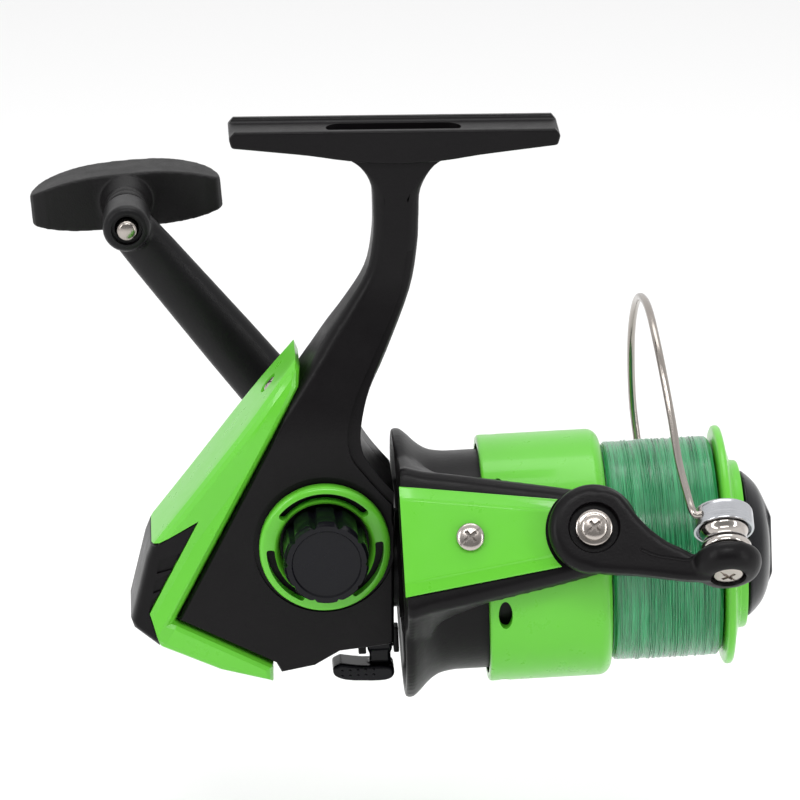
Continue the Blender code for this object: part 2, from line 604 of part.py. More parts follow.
def arm_cover(frame, side, name, green, steel):
    """Painted cover on a rotor arm, with an end that curves round the pivot, and its screw."""
    hollow = arc(PIVOT_X, 0, BAIL_HEAD_RADIUS + 0.5, 143, 217, 8)
    outline = [(1.2, -11.9)] + [(x, z) for x, z in hollow[::-1]] + [(1.2, 11.9)]
    inner, outer = sorted((side * (ROTOR_ARM_OUTER + GAP), side * (ROTOR_ARM_OUTER + 1.7)))
    bm = rounded(prism(outline, inner, outer), 0.6, 2, lambda edge: on_outer_face(edge, side))
    made = solid(f"{name}_arm_cover", bm, frame, green)
    cut(made, across(tube(*sorted((side * 20, side * 40)), 1.4, steps=20), 15.6, 0), "screw_hole")
    screw(f"{name}_arm_cover_screw", frame, steel, 3.0, 1.6, 1.1, 2.6,
          (15.6, side * (ROTOR_ARM_OUTER + 1.9), 0), (0, 0, side * math.pi / 2))
    return made


def bail_arm(pivot, black, steel):
    """Near arm of the bail, from its pivot to the nose that holds the line roller."""
    arm = solid("bail_arm", tube(-BAIL_OUTER, -BAIL_INNER, BAIL_HEAD_RADIUS, steps=30), pivot, black)
    neck = [(-2, 8.2), (5.0, 7.2), (8.8, 2.6), (12.0, -1.0), (15.6, -4.2), (18.0, -5.4), (21.5, -7.4),
            (32.0, -8.8), (31.6, -12.2), (27, -13.4), (15, -11.8), (4, -9.8), (-3, -8.8)]
    bar = prism(neck, 0, 4.2)
    bar.transform(Matrix(((1, 0, 0, 0), (-0.14, 1, 0, -BAIL_OUTER), (0, 0, 1, 0), (0, 0, 0, 1))))
    bmesh.ops.recalc_face_normals(bar, faces=bar.faces)
    add(arm, to_pivot(rounded(bar, 0.8, 1)), "neck")
    add(arm, nose_solid(tube(-15.2, -9.6, NOSE_RADIUS, steps=23)), "nose")
    screw_bore = [(-20, 0), (-20, 3.6), (-13.9, 3.6), (-13.9, 1.7), (0, 1.7), (0, 0)]
    cut(arm, nose_solid(turned(screw_bore, 20)), "screw_bore")
    seat = -BAIL_OUTER + 1.6
    cut(arm, turned([(-45, 0), (-45, 5.2), (seat, 5.2), (seat, 2.2), (0, 2.2), (0, 0)], 22), "pivot_bore")
    solid("bail_arm_washer", tube(-BAIL_OUTER - 0.2, -BAIL_OUTER + 1.3, 3.9, 2.2, 20), pivot, steel)
    screw("bail_arm_screw", pivot, steel, 2.9, 1.5, 1.6, 8.8, (-BAIL_OUTER - 0.5, 0, 0), (0, 0, math.pi))
    return arm


def to_pivot(bm):
    """From the rotor's axes, measured from the pivot, to the pivot frame, whose X is the pivot axis."""
    bm.transform(Matrix.Rotation(-math.pi / 2, 4, "Z"))
    return bm


def roller_matrix():
    """The roller's axis is along local X: mostly up, leaning in towards the spool."""
    lean = Matrix.Rotation(-ROLLER_LEAN, 4, "X")
    return Matrix.Translation(ROLLER_PLACE) @ lean @ Matrix.Rotation(-math.pi / 2, 4, "Y")


def roller_in_pivot():
    """The roller's own axes, measured in the pivot frame."""
    return Matrix.Rotation(-math.pi / 2, 4, "Z") @ Matrix.Translation((-PIVOT_X, 0, 0)) @ roller_matrix()


def nose_solid(bm):
    """From the roller's own axis to the pivot frame."""
    bm.transform(roller_in_pivot())
    return bm


def roller_parts(pivot, roller, black, steel, chrome):
    solid("roller_bush", nose_solid(tube(-9.3, -2.7, 2.9, 1.6, 18)), pivot, black)
    groove = [(-9.1, 3.1), (-9.1, 4.9), (-8.7, ROLLER_RADIUS), (-7.9, ROLLER_RADIUS), (-6.6, 4.7),
              (-5.4, 4.7), (-4.4, ROLLER_RADIUS - 0.2), (-3.0, ROLLER_RADIUS - 0.2), (-3.0, 3.1)]
    solid("line_roller", turned(groove, 24), roller, chrome)
    cup = [(-4.0, 5.8), (-2.4, 5.8), (-2.4, 1.6), (0.4, 1.6), (0.8, 5.6), (0.5, 6.2), (0.0, HOLDER_RADIUS),
           (-4.0, HOLDER_RADIUS)]
    solid("wire_holder", nose_solid(turned(cup, 24)), pivot, steel)
    bm = turned([(-15.0, 0), (-15.0, 3.2), (-14.2, 3.2), (-14.2, 1.3), (0.3, 1.3), (0.3, 0)], 14)
    made = solid("roller_screw", nose_solid(bm), pivot, chrome)
    for index in range(2):
        slot = block((-16, -2.0, -0.4), (-14.6, 2.0, 0.4))
        bmesh.ops.rotate(slot, verts=slot.verts, cent=(0, 0, 0),
                         matrix=Matrix.Rotation(math.pi / 4 + index * math.pi / 2, 3, "X"))
        cut(made, nose_solid(slot), f"slot_{index + 1}")


WIRE_ROUTE = [(62.6, -38.9, 2.2), (62.0, -37.4, 5.4), (60.8, -34.4, 13.5), (60.0, -31.8, 24.0),
              (58.4, -28.6, 39.5),
              (57.6, -17.0, 50.8), (56.8, 0.0, 55.1), (56.2, 17.0, 50.0), (56.3, 28.4, 37.5),
              (57.2, 31.6, 24.0), (56.9, 34.6, 12.4)]


def bail_wire(frame, steel):
    """Round wire that arches over the spool, as a smooth curve with filled ends."""
    curve = bpy.data.curves.new("bail_wire", "CURVE")
    curve.dimensions = "3D"
    curve.bevel_depth = WIRE_RADIUS * MM
    curve.bevel_resolution = 2
    curve.resolution_u = 4
    curve.use_fill_caps = True
    spline = curve.splines.new("BEZIER")
    spline.bezier_points.add(len(WIRE_ROUTE) - 1)
    for point, place in zip(spline.bezier_points, WIRE_ROUTE):
        point.co = [value * MM for value in place]
        point.handle_left_type = "AUTO"
        point.handle_right_type = "AUTO"
    made = bpy.data.objects.new("bail_wire", curve)
    made.data.materials.append(steel)
    bpy.context.scene.collection.objects.link(made)
    made.parent = frame
    return made


def bail_holder(pivot, black, steel):
    """Far arm of the bail, with the socket for the wire's other end."""
    holder = solid("bail_holder", tube(BAIL_INNER, BAIL_OUTER - 0.8, BAIL_HEAD_RADIUS - 1.4), pivot, black)
    reach = [(0, -7.0), (9.0, -3.6), (15.8, 5.4), (16.6, 11.4), (12.6, 11.8), (5.0, 7.6), (-2, 7.6)]
    add(holder, to_pivot(rounded(prism(reach, BAIL_INNER, BAIL_OUTER - 1.4), 0.8, 2)), "reach")
    cut(holder, turned([(0, 0), (0, 2.2), (34.8, 2.2), (34.8, 4.4), (45, 4.4), (45, 0)], 20), "pivot_bore")
    screw("bail_holder_screw", pivot, steel, 2.9, 1.5, 1.6, 8.4, (35.3, 0, 0), (0, 0, 0))
    return holder


def bail_spring(frame, steel):
    """Coil spring in the near arm's pocket, under the cover."""
    curve = bpy.data.curves.new("bail_spring", "CURVE")
    curve.dimensions = "3D"
    curve.bevel_depth = 0.25 * MM
    curve.bevel_resolution = 0
    curve.use_fill_caps = True
    spline = curve.splines.new("POLY")
    turns = 6
    per_turn = 8
    spline.points.add(turns * per_turn)
    for index, point in enumerate(spline.points):
        turn = FULL_TURN * index / per_turn
        along = 19.0 + 9.0 * index / (turns * per_turn)
        depth = -(ROTOR_ARM_INNER + 2.55) + 0.95 * math.cos(turn)
        point.co = (along * MM, depth * MM, 0.95 * math.sin(turn) * MM, 1.0)
    made = bpy.data.objects.new("bail_spring", curve)
    made.data.materials.append(steel)
    bpy.context.scene.collection.objects.link(made)
    made.parent = frame
    return made


def spool(frame, green, line, steel, felt):
    """Spool with skirt, arbor, front rim and drag well; the wound line; the drag stack and its knob."""
    inside = SKIRT_RADIUS - SKIRT_WALL
    profile = [(SKIRT_REAR, inside), (SKIRT_REAR, SKIRT_RADIUS - 0.5), (SKIRT_REAR + 0.6, SKIRT_RADIUS),
               (SKIRT_FRONT - 1.6, SKIRT_RADIUS), (SKIRT_FRONT - 0.5, SKIRT_RADIUS - 0.5),
               (SKIRT_FRONT, SKIRT_RADIUS - 1.6), (SKIRT_FRONT, ARBOR_RADIUS), (RIM_REAR - 0.6, ARBOR_RADIUS),
               (RIM_REAR, LINE_RADIUS), (RIM_REAR + 0.3, RIM_RADIUS - 0.5), (RIM_REAR + 1.0, RIM_RADIUS),
               (RIM_FRONT - 0.5, RIM_RADIUS - 0.2), (RIM_FRONT, RIM_RADIUS - 1.0), (73.4, 21.0),
               (73.8, FRONT_RING_RADIUS), (FRONT_RING_END, FRONT_RING_RADIUS - 0.2), (FRONT_RING_END, 15.2),
               (61.0, 14.6), (61.0, 3.0), (47.4, 3.0), (47.4, 12.0), (43.8, 14.0), (43.8, inside)]
    made = solid("spool", turned(profile, 40), frame, green)
    for index in range(6):
        turn = math.radians(60 * index + 36)
        oval = prism(arc(SKIRT_REAR + 3.4, 0, 1.5, 0, 360, 10)[:-1], 20, 30)
        bmesh.ops.scale(oval, verts=oval.verts, vec=(1, 1, 2.2))
        bmesh.ops.rotate(oval, verts=oval.verts, cent=(0, 0, 0), matrix=Matrix.Rotation(turn, 3, "X"))
        cut(made, oval, f"skirt_hole_{index + 1}")
    wound = [(SKIRT_FRONT + GAP, ARBOR_RADIUS + GAP), (RIM_REAR - 0.9, ARBOR_RADIUS + GAP),
             (RIM_REAR - 0.5, LINE_RADIUS - 0.6), (RIM_REAR - 1.0, LINE_RADIUS),
             (SKIRT_FRONT + 0.6, LINE_RADIUS), (SKIRT_FRONT + GAP, LINE_RADIUS - 0.6)]
    solid("line_winding", turned(wound, 40), frame, line)
    for index in range(5):
        start = 61.3 + 1.5 * index
        material, name = ((felt, "felt"), (steel, "steel"))[index % 2]
        washer = tube(start, start + 1.2, 14.0 - 0.2 * (index % 2), 3.2, 24)
        solid(f"drag_washer_{name}_{index // 2 + 1}", washer, frame, material)
    return made


def drag_knob(frame, black, steel):
    """Front drag knob with a raised bar across it, its nut and its spring."""
    profile = [(76.0, 13.8), (76.0, KNOB_RADIUS - 0.5), (76.4, KNOB_RADIUS), (78.0, 14.6), (79.6, 12.6),
               (80.8, 10.0), (81.4, 7.7), (81.6, 0), (77.4, 0), (77.4, 12.4), (73.0, 13.0), (73.0, 13.8)]
    made = solid("drag_knob", turned(profile, 32), frame, black)
    bar = rounded(prism([(78.2, -13.2), (80.4, -11.0), (KNOB_FRONT, -6.6), (KNOB_FRONT, 6.6), (80.4, 11.0),
                         (78.2, 13.2)], -2.6, 2.6), 0.6, 2, lambda edge: edge.verts[0].co.x > 80)
    add(made, bar, "grip_bar")
    solid("drag_nut", tube(73.6, 76.8, 5.8, 2.5, 6), frame, steel, smooth=False)
    curve = bpy.data.curves.new("drag_spring", "CURVE")
    curve.dimensions = "3D"
    curve.bevel_depth = 0.4 * MM
    curve.bevel_resolution = 0
    curve.use_fill_caps = True
    spline = curve.splines.new("POLY")
    turns = 3
    per_turn = 12
    spline.points.add(turns * per_turn)
    for index, point in enumerate(spline.points):
        turn = FULL_TURN * index / per_turn
        along = 69.5 + 3.5 * index / (turns * per_turn)
        point.co = (along * MM, 4.6 * math.cos(turn) * MM, 4.6 * math.sin(turn) * MM, 1.0)
    spring = bpy.data.objects.new("drag_spring", curve)
    spring.data.materials.append(steel)
    bpy.context.scene.collection.objects.link(spring)
    spring.parent = frame
    return made


def shaft_parts(axis, rotor_frame, steel, black):
    """Everything threaded on the rotor axis, from the main shaft out to the rotor's nut."""
    shaft = [(-37.6, 0), (-37.6, SHAFT_RADIUS - 0.3), (-37.2, SHAFT_RADIUS), (77.0, SHAFT_RADIUS),
             (77.4, 1.7), (77.4, 0)]
    solid("main_shaft", turned(shaft, 24), axis, steel)
    solid("pinion_bearing", tube(-1.8, 2.2, 7.6, 3.9, 24), axis, steel)
    solid("one_way_clutch", tube(2.5, 8.4, 7.6, 3.9, 24), axis, black)
    solid("clutch_retainer", tube(9.1, 10.1, 9.8, 4.2, 24), axis, steel)
    solid("rotor_nut", tube(14.9, 17.4, 6.2, 4.3, 6), rotor_frame, steel, smooth=False)
    seat = [(40.6, 2.3), (46.8, 2.3), (46.8, 6.4), (43.2, 6.4), (43.2, 9.6), (41.6, 9.6), (40.6, 8.6)]
    solid("spool_seat", turned(seat, 28), axis, black)


def bezel(axle, green):
    """Painted ring round the axle cap, with three curved slots."""
    profile = [(-12.3, 9.9), (-12.3, 13.4), (-13.0, 14.1), (-14.4, 14.1), (-15.2, 13.3), (-15.2, 10.7), (-14.6, 9.9)]
    made = solid("axle_bezel", turned(profile, 36), axle, green)
    for index, middle in enumerate((88, 205, 335)):
        outside = arc(0, 0, 12.5, middle - 46, middle + 46, 8)
        within = arc(0, 0, 11.4, middle + 46, middle - 46, 8)
        slot = prism(outside + within, -20, -10)
        slot.transform(Matrix.Rotation(-math.pi / 2, 4, "Z"))
        cut(made, slot, f"slot_{index + 1}")
    return made


def anti_reverse(axis, black):
    """Lever under the case that turns the anti-reverse on and off."""
    pivot = empty("anti_reverse_frame", axis, (0, 0, LEVER_AXIS))
    lever = solid("anti_reverse_lever", tube(-6.6, -1.2, 1.9, steps=24), pivot, black)
    stem = rounded(block((-6.2, -1.4, -6.4), (-1.6, 1.4, -0.4)), 0.5, 2)
    add(lever, stem, "stem")
    paddle = prism([(-14.6, -4.2), (-13.8, -6.0), (-8.0, -7.6), (-2.2, -7.6), (-1.0, -6.2), (-1.4, -4.4),
                    (-8.0, -4.0), (-12.6, -3.2)], -3.6, 3.6)
    add(lever, rounded(paddle, 0.8, 2), "paddle")
    cut(lever, tube(-8, 0, 1.2, steps=20), "pin_bore")
    return lever


def trip_lever(frame, black):
    """Lever in the near arm that closes the bail when the rotor turns."""
    bm = rounded(block((8.0, -30.6, -1.2), (18.0, -29.0, 1.2)), 0.3, 2)
    return solid("bail_trip_lever", bm, frame, black)


def main():
    clear_scene()
    green = principled("green_paint", (0.23, 0.78, 0.08), 0.25)
    black = principled("black_plastic", (0.018, 0.017, 0.018), 0.45)
    gloss = principled("dark_gloss_plastic", (0.020, 0.020, 0.026), 0.2)
    rubber = principled("grip_rubber", (0.025, 0.024, 0.025), 0.7)
    paint = principled("black_painted_metal", (0.020, 0.019, 0.020), 0.5)
    steel = principled("nickel_steel", (0.62, 0.58, 0.55), 0.3, 1.0)
    chrome = principled("chrome", (0.75, 0.74, 0.73), 0.12, 1.0)
    alloy = principled("aluminium", (0.72, 0.73, 0.76), 0.3, 1.0)
    brass = principled("brass", (0.72, 0.50, 0.20), 0.35, 1.0)
    line = principled("nylon_line", (0.04, 0.35, 0.16), 0.25)
    felt = principled("felt", (0.20, 0.18, 0.16), 0.9)

    body = empty("reel_frame", None)
    foot_and_case(body, black)
    side_cover(body, black, steel)
    rear_cover(body, green, black, steel)
    oscillation(body, brass, gloss, steel)

    axle = empty("axle_frame", body, (AXLE_X, 0, AXLE_Z), (0, 0, math.pi / 2))
    crank = empty("crank_frame", axle, (ARM_PLANE, -CRANK_X, CRANK_Z))
    bezel(axle, green)
    face_gear(axle, alloy)
    solid("near_axle_bearing", tube(-11.0, -7.6, BEARING_RADIUS, AXLE_TUBE_RADIUS + 0.2, 24), axle, steel)
    solid("far_axle_bearing", tube(8.6, 12.0, BEARING_RADIUS, HANDLE_SHAFT_RADIUS + 0.4, 24), axle, steel)
    handle(axle, crank, paint, steel, gloss)
    knob(crank, rubber)

    axis = empty("rotor_axis_frame", body, (0, 0, SHAFT_Z), (0, -SHAFT_TILT, 0))
    turning = empty("rotor_frame", axis, (0, 0, 0), (-ARM_RAISED, 0, 0))
    pivot = empty("bail_pivot_frame", turning, (PIVOT_X, 0, 0), (0, 0, math.pi / 2))
    helical_pinion(turning, brass)
    shaft_parts(axis, turning, steel, gloss)
    rotor(turning, black)
    for side, name in ((-1, "near"), (1, "far")):
        arm_cover(turning, side, name, green, steel)
    bail_arm(pivot, black, steel)
    seat = roller_in_pivot()
    roller = empty("roller_frame", pivot, seat.translation, seat.to_euler())
    roller_parts(pivot, roller, gloss, alloy, chrome)
    bail_wire(turning, chrome)
    bail_holder(pivot, black, steel)
    bail_spring(turning, steel)
    trip_lever(turning, gloss)
    spool(turning, green, line, steel, felt)
    drag_knob(turning, gloss, steel)
    anti_reverse(axis, gloss)


main()
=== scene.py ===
# %% [markdown]
# # A spinning reel, finished for the camera
# A spinning reel hangs under the rod: a foot and stem, a flat gear case, a rotor that carries the wire
# bail round a fixed spool, and a folding crank with a T-shaped grip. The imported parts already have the
# right sizes and joints. This notebook gives the pieces that show a finer surface, and gives every
# part a finish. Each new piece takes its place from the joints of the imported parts, so that it cannot
# drift from them.

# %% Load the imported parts
import json
import math

import bmesh
import bpy
from mathutils import Matrix, Vector, noise


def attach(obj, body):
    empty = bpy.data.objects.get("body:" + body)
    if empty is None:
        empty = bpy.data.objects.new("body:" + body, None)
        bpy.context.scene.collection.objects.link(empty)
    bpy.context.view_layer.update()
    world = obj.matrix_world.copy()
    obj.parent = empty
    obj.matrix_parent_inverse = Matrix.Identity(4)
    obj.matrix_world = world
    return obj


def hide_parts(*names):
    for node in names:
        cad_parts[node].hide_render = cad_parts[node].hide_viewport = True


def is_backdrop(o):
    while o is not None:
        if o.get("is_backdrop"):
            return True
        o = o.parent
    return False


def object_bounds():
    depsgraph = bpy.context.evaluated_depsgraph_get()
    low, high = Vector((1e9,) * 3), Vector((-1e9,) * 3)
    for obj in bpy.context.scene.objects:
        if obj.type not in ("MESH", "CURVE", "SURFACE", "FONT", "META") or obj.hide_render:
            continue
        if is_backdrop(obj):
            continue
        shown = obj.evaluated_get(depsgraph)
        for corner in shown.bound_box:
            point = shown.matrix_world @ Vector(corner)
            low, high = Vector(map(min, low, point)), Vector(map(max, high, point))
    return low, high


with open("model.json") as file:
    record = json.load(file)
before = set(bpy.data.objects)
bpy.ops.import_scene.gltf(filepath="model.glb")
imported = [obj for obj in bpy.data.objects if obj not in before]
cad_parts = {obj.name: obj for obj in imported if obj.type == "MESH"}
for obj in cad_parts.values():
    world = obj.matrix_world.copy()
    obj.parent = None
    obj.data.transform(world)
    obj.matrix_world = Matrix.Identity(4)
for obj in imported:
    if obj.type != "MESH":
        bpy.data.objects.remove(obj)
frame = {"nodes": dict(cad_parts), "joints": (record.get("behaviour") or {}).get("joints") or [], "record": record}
CAD_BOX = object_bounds()
MM = 0.001
FULL_TURN = 2 * math.pi

# %% [markdown]
# Each piece could be drawn where it stands in the reel, but its numbers would then mean little. Pieces
# are drawn in millimetres about the axis that they turn or sit on instead, so radii are real radii. A
# matrix then carries each piece to its place. The matrices are built from the joints' own points and
# axes. X is along the axis that a piece is turned about.

# %% Axes taken from the joints
joints = {item["name"]: item for item in frame["joints"]}


def axes(origin, along, second):
    """A matrix from millimetres to the row frame, with its X along the first direction."""
    x = Vector(along).normalized()
    z = x.cross(Vector(second)).normalized()
    y = z.cross(x)
    turn = Matrix((x, y, z)).transposed().to_4x4()
    return Matrix.Translation(origin) @ turn @ Matrix.Scale(MM, 4)


SPIN = joints["rotor_spin"]
FLIP = joints["bail_flip"]
ROTOR = axes(SPIN["pos_m"], SPIN["axis"], FLIP["axis"])
SHAFT = axes(SPIN["pos_m"], SPIN["axis"], (0, 1, 0))
AXLE = axes(joints["handle_crank"]["pos_m"], (0, 1, 0), (-1, 0, 0))
CRANK = axes(joints["knob_spin"]["pos_m"], (0, 1, 0), (-1, 0, 0))
ROLLER = axes(joints["roller_spin"]["pos_m"], joints["roller_spin"]["axis"], FLIP["axis"])
WORLD = Matrix.Scale(MM, 4)
AXLE_ON_BODY = WORLD.inverted() @ AXLE
SHAFT_ON_BODY = WORLD.inverted() @ SHAFT
PIVOT_U = (ROTOR.inverted() @ Vector(FLIP["pos_m"])).x
print("bail pivot is", round(PIVOT_U, 1), "mm along the shaft")

# %% [markdown]
# Most of a reel is turned on a lathe or cut from an outline. Two helpers do that with bmesh's own
# operators: one spins a profile, the other extrudes an outline. A third rounds the sharp edges, because
# a moulded edge always catches a thin line of light and a sharp one looks like paper. The others cut
# one solid with another, or fuse several into one skin.

# %% Shaping helpers
WELD = 1e-4


def turned(profile, steps=64):
    """Spins a closed outline of (along X, radius) points about X."""
    bm = bmesh.new()
    verts = [bm.verts.new((along, 0, radius)) for along, radius in profile]
    edges = []
    for first, second in zip(verts, verts[1:] + verts[:1]):
        if max(first.co.z, second.co.z) > WELD:
            edges.append(bm.edges.new((first, second)))
    bmesh.ops.spin(bm, geom=verts + edges, cent=(0, 0, 0), axis=(1, 0, 0), angle=FULL_TURN, steps=steps,
                   use_merge=True)
    bmesh.ops.remove_doubles(bm, verts=bm.verts, dist=WELD)
    bmesh.ops.recalc_face_normals(bm, faces=bm.faces)
    return bm


def prism(outline, near, far):
    """Extrudes an outline of (x, z) points along Y."""
    bm = bmesh.new()
    face = bm.faces.new([bm.verts.new((x, near, z)) for x, z in outline])
    grown = bmesh.ops.extrude_face_region(bm, geom=[face])["geom"]
    moved = [item for item in grown if isinstance(item, bmesh.types.BMVert)]
    bmesh.ops.translate(bm, verts=moved, vec=(0, far - near, 0))
    bmesh.ops.recalc_face_normals(bm, faces=bm.faces)
    return bm


def rounded(bm, width, segments=3, angle=30, keep=None):
    """Rounds the edges that turn by more than the angle, or those of them that the test keeps."""
    edges = [edge for edge in bm.edges if edge.calc_face_angle(0) > math.radians(angle)]
    if keep:
        edges = [edge for edge in edges if keep(edge)]
    bmesh.ops.bevel(bm, geom=edges, offset=width, affect="EDGES", segments=segments, profile=0.5,
                    material=-1, clamp_overlap=True)
    return bm


def block(low, high):
    outline = [(low[0], low[2]), (high[0], low[2]), (high[0], high[2]), (low[0], high[2])]
    return prism(outline, low[1], high[1])


def arc(x, z, radius, start, end, count):
    """Points on a circle, with its angles in degrees."""
    turns = [math.radians(start + (end - start) * step / count) for step in range(count + 1)]
    return [(x + radius * math.cos(turn), z + radius * math.sin(turn)) for turn in turns]


def smooth_line(points, steps=4):
    """Extra points on a smooth curve through the given ones (Catmull-Rom)."""
    made = []
    padded = [points[0]] + list(points) + [points[-1]]
    for index in range(len(points) - 1):
        a, b, c, d = (Vector(point) for point in padded[index:index + 4])
        for step in range(steps):
            t = step / steps
            made.append(tuple(0.5 * ((2 * b) + (c - a) * t + (2 * a - 5 * b + 4 * c - d) * t * t
                                     + (3 * b - a - 3 * c + d) * t ** 3)))
    return made + [tuple(points[-1])]


def ease(value, low, high):
    """0 below low and 1 above high, smooth between."""
    share = min(1.0, max(0.0, (value - low) / (high - low)))
    return share * share * (3 - 2 * share)


def working_object(bm):
    mesh = bpy.data.meshes.new("working")
    bm.to_mesh(mesh)
    bm.free()
    made = bpy.data.objects.new("working", mesh)
    bpy.context.scene.collection.objects.link(made)
    return made


def applied(objects):
    """The first object's mesh with its modifiers applied, as a bmesh; the objects are removed."""
    graph = bpy.context.evaluated_depsgraph_get()
    mesh = bpy.data.meshes.new_from_object(objects[0].evaluated_get(graph))
    bm = bmesh.new()
    bm.from_mesh(mesh)
    bpy.data.meshes.remove(mesh)
    for item in objects:
        old = item.data
        bpy.data.objects.remove(item)
        bpy.data.meshes.remove(old)
    return bm


def combined(bm, other, operation="DIFFERENCE"):
    """An exact Boolean of two bmeshes, which it uses up."""
    target, tool = working_object(bm), working_object(other)
    modifier = target.modifiers.new("boolean", "BOOLEAN")
    modifier.operation = operation
    modifier.solver = "EXACT"
    modifier.object = tool
    return applied([target, tool])


def moulded_together(bm, voxel, smoothing):
    """Fuses overlapping solids into one skin with small fillets, as a moulding has."""
    target = working_object(bm)
    remesh = target.modifiers.new("skin", "REMESH")
    remesh.mode = "VOXEL"
    remesh.voxel_size = voxel
    soften = target.modifiers.new("fillets", "SMOOTH")
    soften.factor = 0.5
    soften.iterations = smoothing
    return applied([target])


def placed(bm, matrix):
    bm.transform(matrix)
    return bm


def joined(*parts):
    """Puts several bmeshes in one, without welding them."""
    target = parts[0]
    for part in parts[1:]:
        mesh = bpy.data.meshes.new("working")
        part.to_mesh(mesh)
        part.free()
        target.from_mesh(mesh)
        bpy.data.meshes.remove(mesh)
    return target

# %% [markdown]
# A finished piece gets its name, its material and the body it rides on, and the parts that it stands
# for are hidden. Flat faces next to small rounds would shade unevenly, so a weighted-normal
# modifier lets the large faces set the shading.

# %% Finishing helper
def finish(name, bm, matrix, body, material, stands_for=(), sharp=40):
    bm.transform(matrix)
    bmesh.ops.remove_doubles(bm, verts=bm.verts, dist=1e-6)
    bmesh.ops.recalc_face_normals(bm, faces=bm.faces)
    mesh = bpy.data.meshes.new(name)
    bm.to_mesh(mesh)
    bm.free()
    made = bpy.data.objects.new(name, mesh)
    bpy.context.scene.collection.objects.link(made)
    mesh.materials.append(material)
    mesh.shade_smooth()
    mesh.set_sharp_from_angle(angle=math.radians(sharp))
    weighted = made.modifiers.new("face_weighted_normals", "WEIGHTED_NORMAL")
    weighted.keep_sharp = True
    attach(made, body)
    if stands_for:
        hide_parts(*stands_for)
    print(name, len(mesh.polygons), "faces")
    return made

# %% [markdown]
# ## Finishes
# Three make-ups cover the reel. Moulded plastic has a fine grain, a faint change of shade where the
# melt flowed, and a roughness that wanders; one flat colour and roughness would look like a toy. Paint
# and felt are the same idea with other settings: paint adds a thin clear coat. Metal carries fine lathe
# lines round its own axis, and the wound line has streaks of painted shade and painted glints of its own.
# Each function writes its nodes out once and is called for each colour.

# %% Moulded plastic
def moulded(name, colour, roughness, grain=1800.0, relief=0.12, mottle=0.25, coat=0.0, coat_roughness=0.2,
             shine=0.5):
    made = bpy.data.materials.new(name)
    made.use_nodes = True
    nodes, links = made.node_tree.nodes, made.node_tree.links
    nodes.clear()
    output = nodes.new("ShaderNodeOutputMaterial")
    output.label = "Surface"
    shader = nodes.new("ShaderNodeBsdfPrincipled")
    shader.label = "Plastic"
    place = nodes.new("ShaderNodeTexCoord")
    place.label = "Place on the reel"
    colour_frame = nodes.new("NodeFrame")
    colour_frame.label = "Shade of the melt"
    gloss_frame = nodes.new("NodeFrame")
    gloss_frame.label = "Gloss and handling wear"
    relief_frame = nodes.new("NodeFrame")
    relief_frame.label = "Mould grain"
    flow = nodes.new("ShaderNodeTexNoise")
    flow.label = "Flow of the melt"
    flow.parent = colour_frame
    flow.inputs["Scale"].default_value = 60.0
    flow.inputs["Detail"].default_value = 4.0
    shade = nodes.new("ShaderNodeMix")
    shade.label = "Two near shades"
    shade.parent = colour_frame
    shade.data_type = "RGBA"
    shade.inputs["A"].default_value = (*[value * (1 - mottle) for value in colour], 1.0)
    shade.inputs["B"].default_value = (*[value * (1 + mottle) for value in colour], 1.0)
    wear = nodes.new("ShaderNodeTexNoise")
    wear.label = "Handled patches"
    wear.parent = gloss_frame
    wear.inputs["Scale"].default_value = 210.0
    wear.inputs["Detail"].default_value = 6.0
    wear.inputs["Roughness"].default_value = 0.7
    gloss = nodes.new("ShaderNodeMapRange")
    gloss.label = "Roughness range"
    gloss.parent = gloss_frame
    gloss.inputs["From Min"].default_value = 0.3
    gloss.inputs["From Max"].default_value = 0.7
    gloss.inputs["To Min"].default_value = roughness * 0.86
    gloss.inputs["To Max"].default_value = min(1.0, roughness * 1.14)
    pores = nodes.new("ShaderNodeTexNoise")
    pores.label = "Grain from the mould"
    pores.parent = relief_frame
    pores.inputs["Scale"].default_value = grain
    pores.inputs["Detail"].default_value = 3.0
    bump = nodes.new("ShaderNodeBump")
    bump.label = "Grain relief"
    bump.parent = relief_frame
    bump.inputs["Strength"].default_value = relief
    bump.inputs["Distance"].default_value = 0.0002
    shader.inputs["Specular IOR Level"].default_value = shine
    shader.inputs["Coat Weight"].default_value = coat
    shader.inputs["Coat Roughness"].default_value = coat_roughness
    links.new(place.outputs["Object"], flow.inputs["Vector"])
    links.new(place.outputs["Object"], wear.inputs["Vector"])
    links.new(place.outputs["Object"], pores.inputs["Vector"])
    links.new(flow.outputs["Fac"], shade.inputs["Factor"])
    links.new(shade.outputs["Result"], shader.inputs["Base Color"])
    links.new(wear.outputs["Fac"], gloss.inputs["Value"])
    links.new(gloss.outputs["Result"], shader.inputs["Roughness"])
    links.new(pores.outputs["Fac"], bump.inputs["Height"])
    links.new(bump.outputs["Normal"], shader.inputs["Normal"])
    links.new(shader.outputs["BSDF"], output.inputs["Surface"])
    columns = [(place,), (flow, wear, pores), (shade, gloss, bump), (shader,), (output,)]
    for column, members in enumerate(columns):
        for row, item in enumerate(members):
            item.location = (column * 260 - 700, 300 - row * 280)
    return made

# %% [markdown]
# Metal shows how it was cut. The lathe lines run round the piece, so the noise is squeezed along the
# axis and left long round it. The mapping node turns the pattern to the axis of the part.

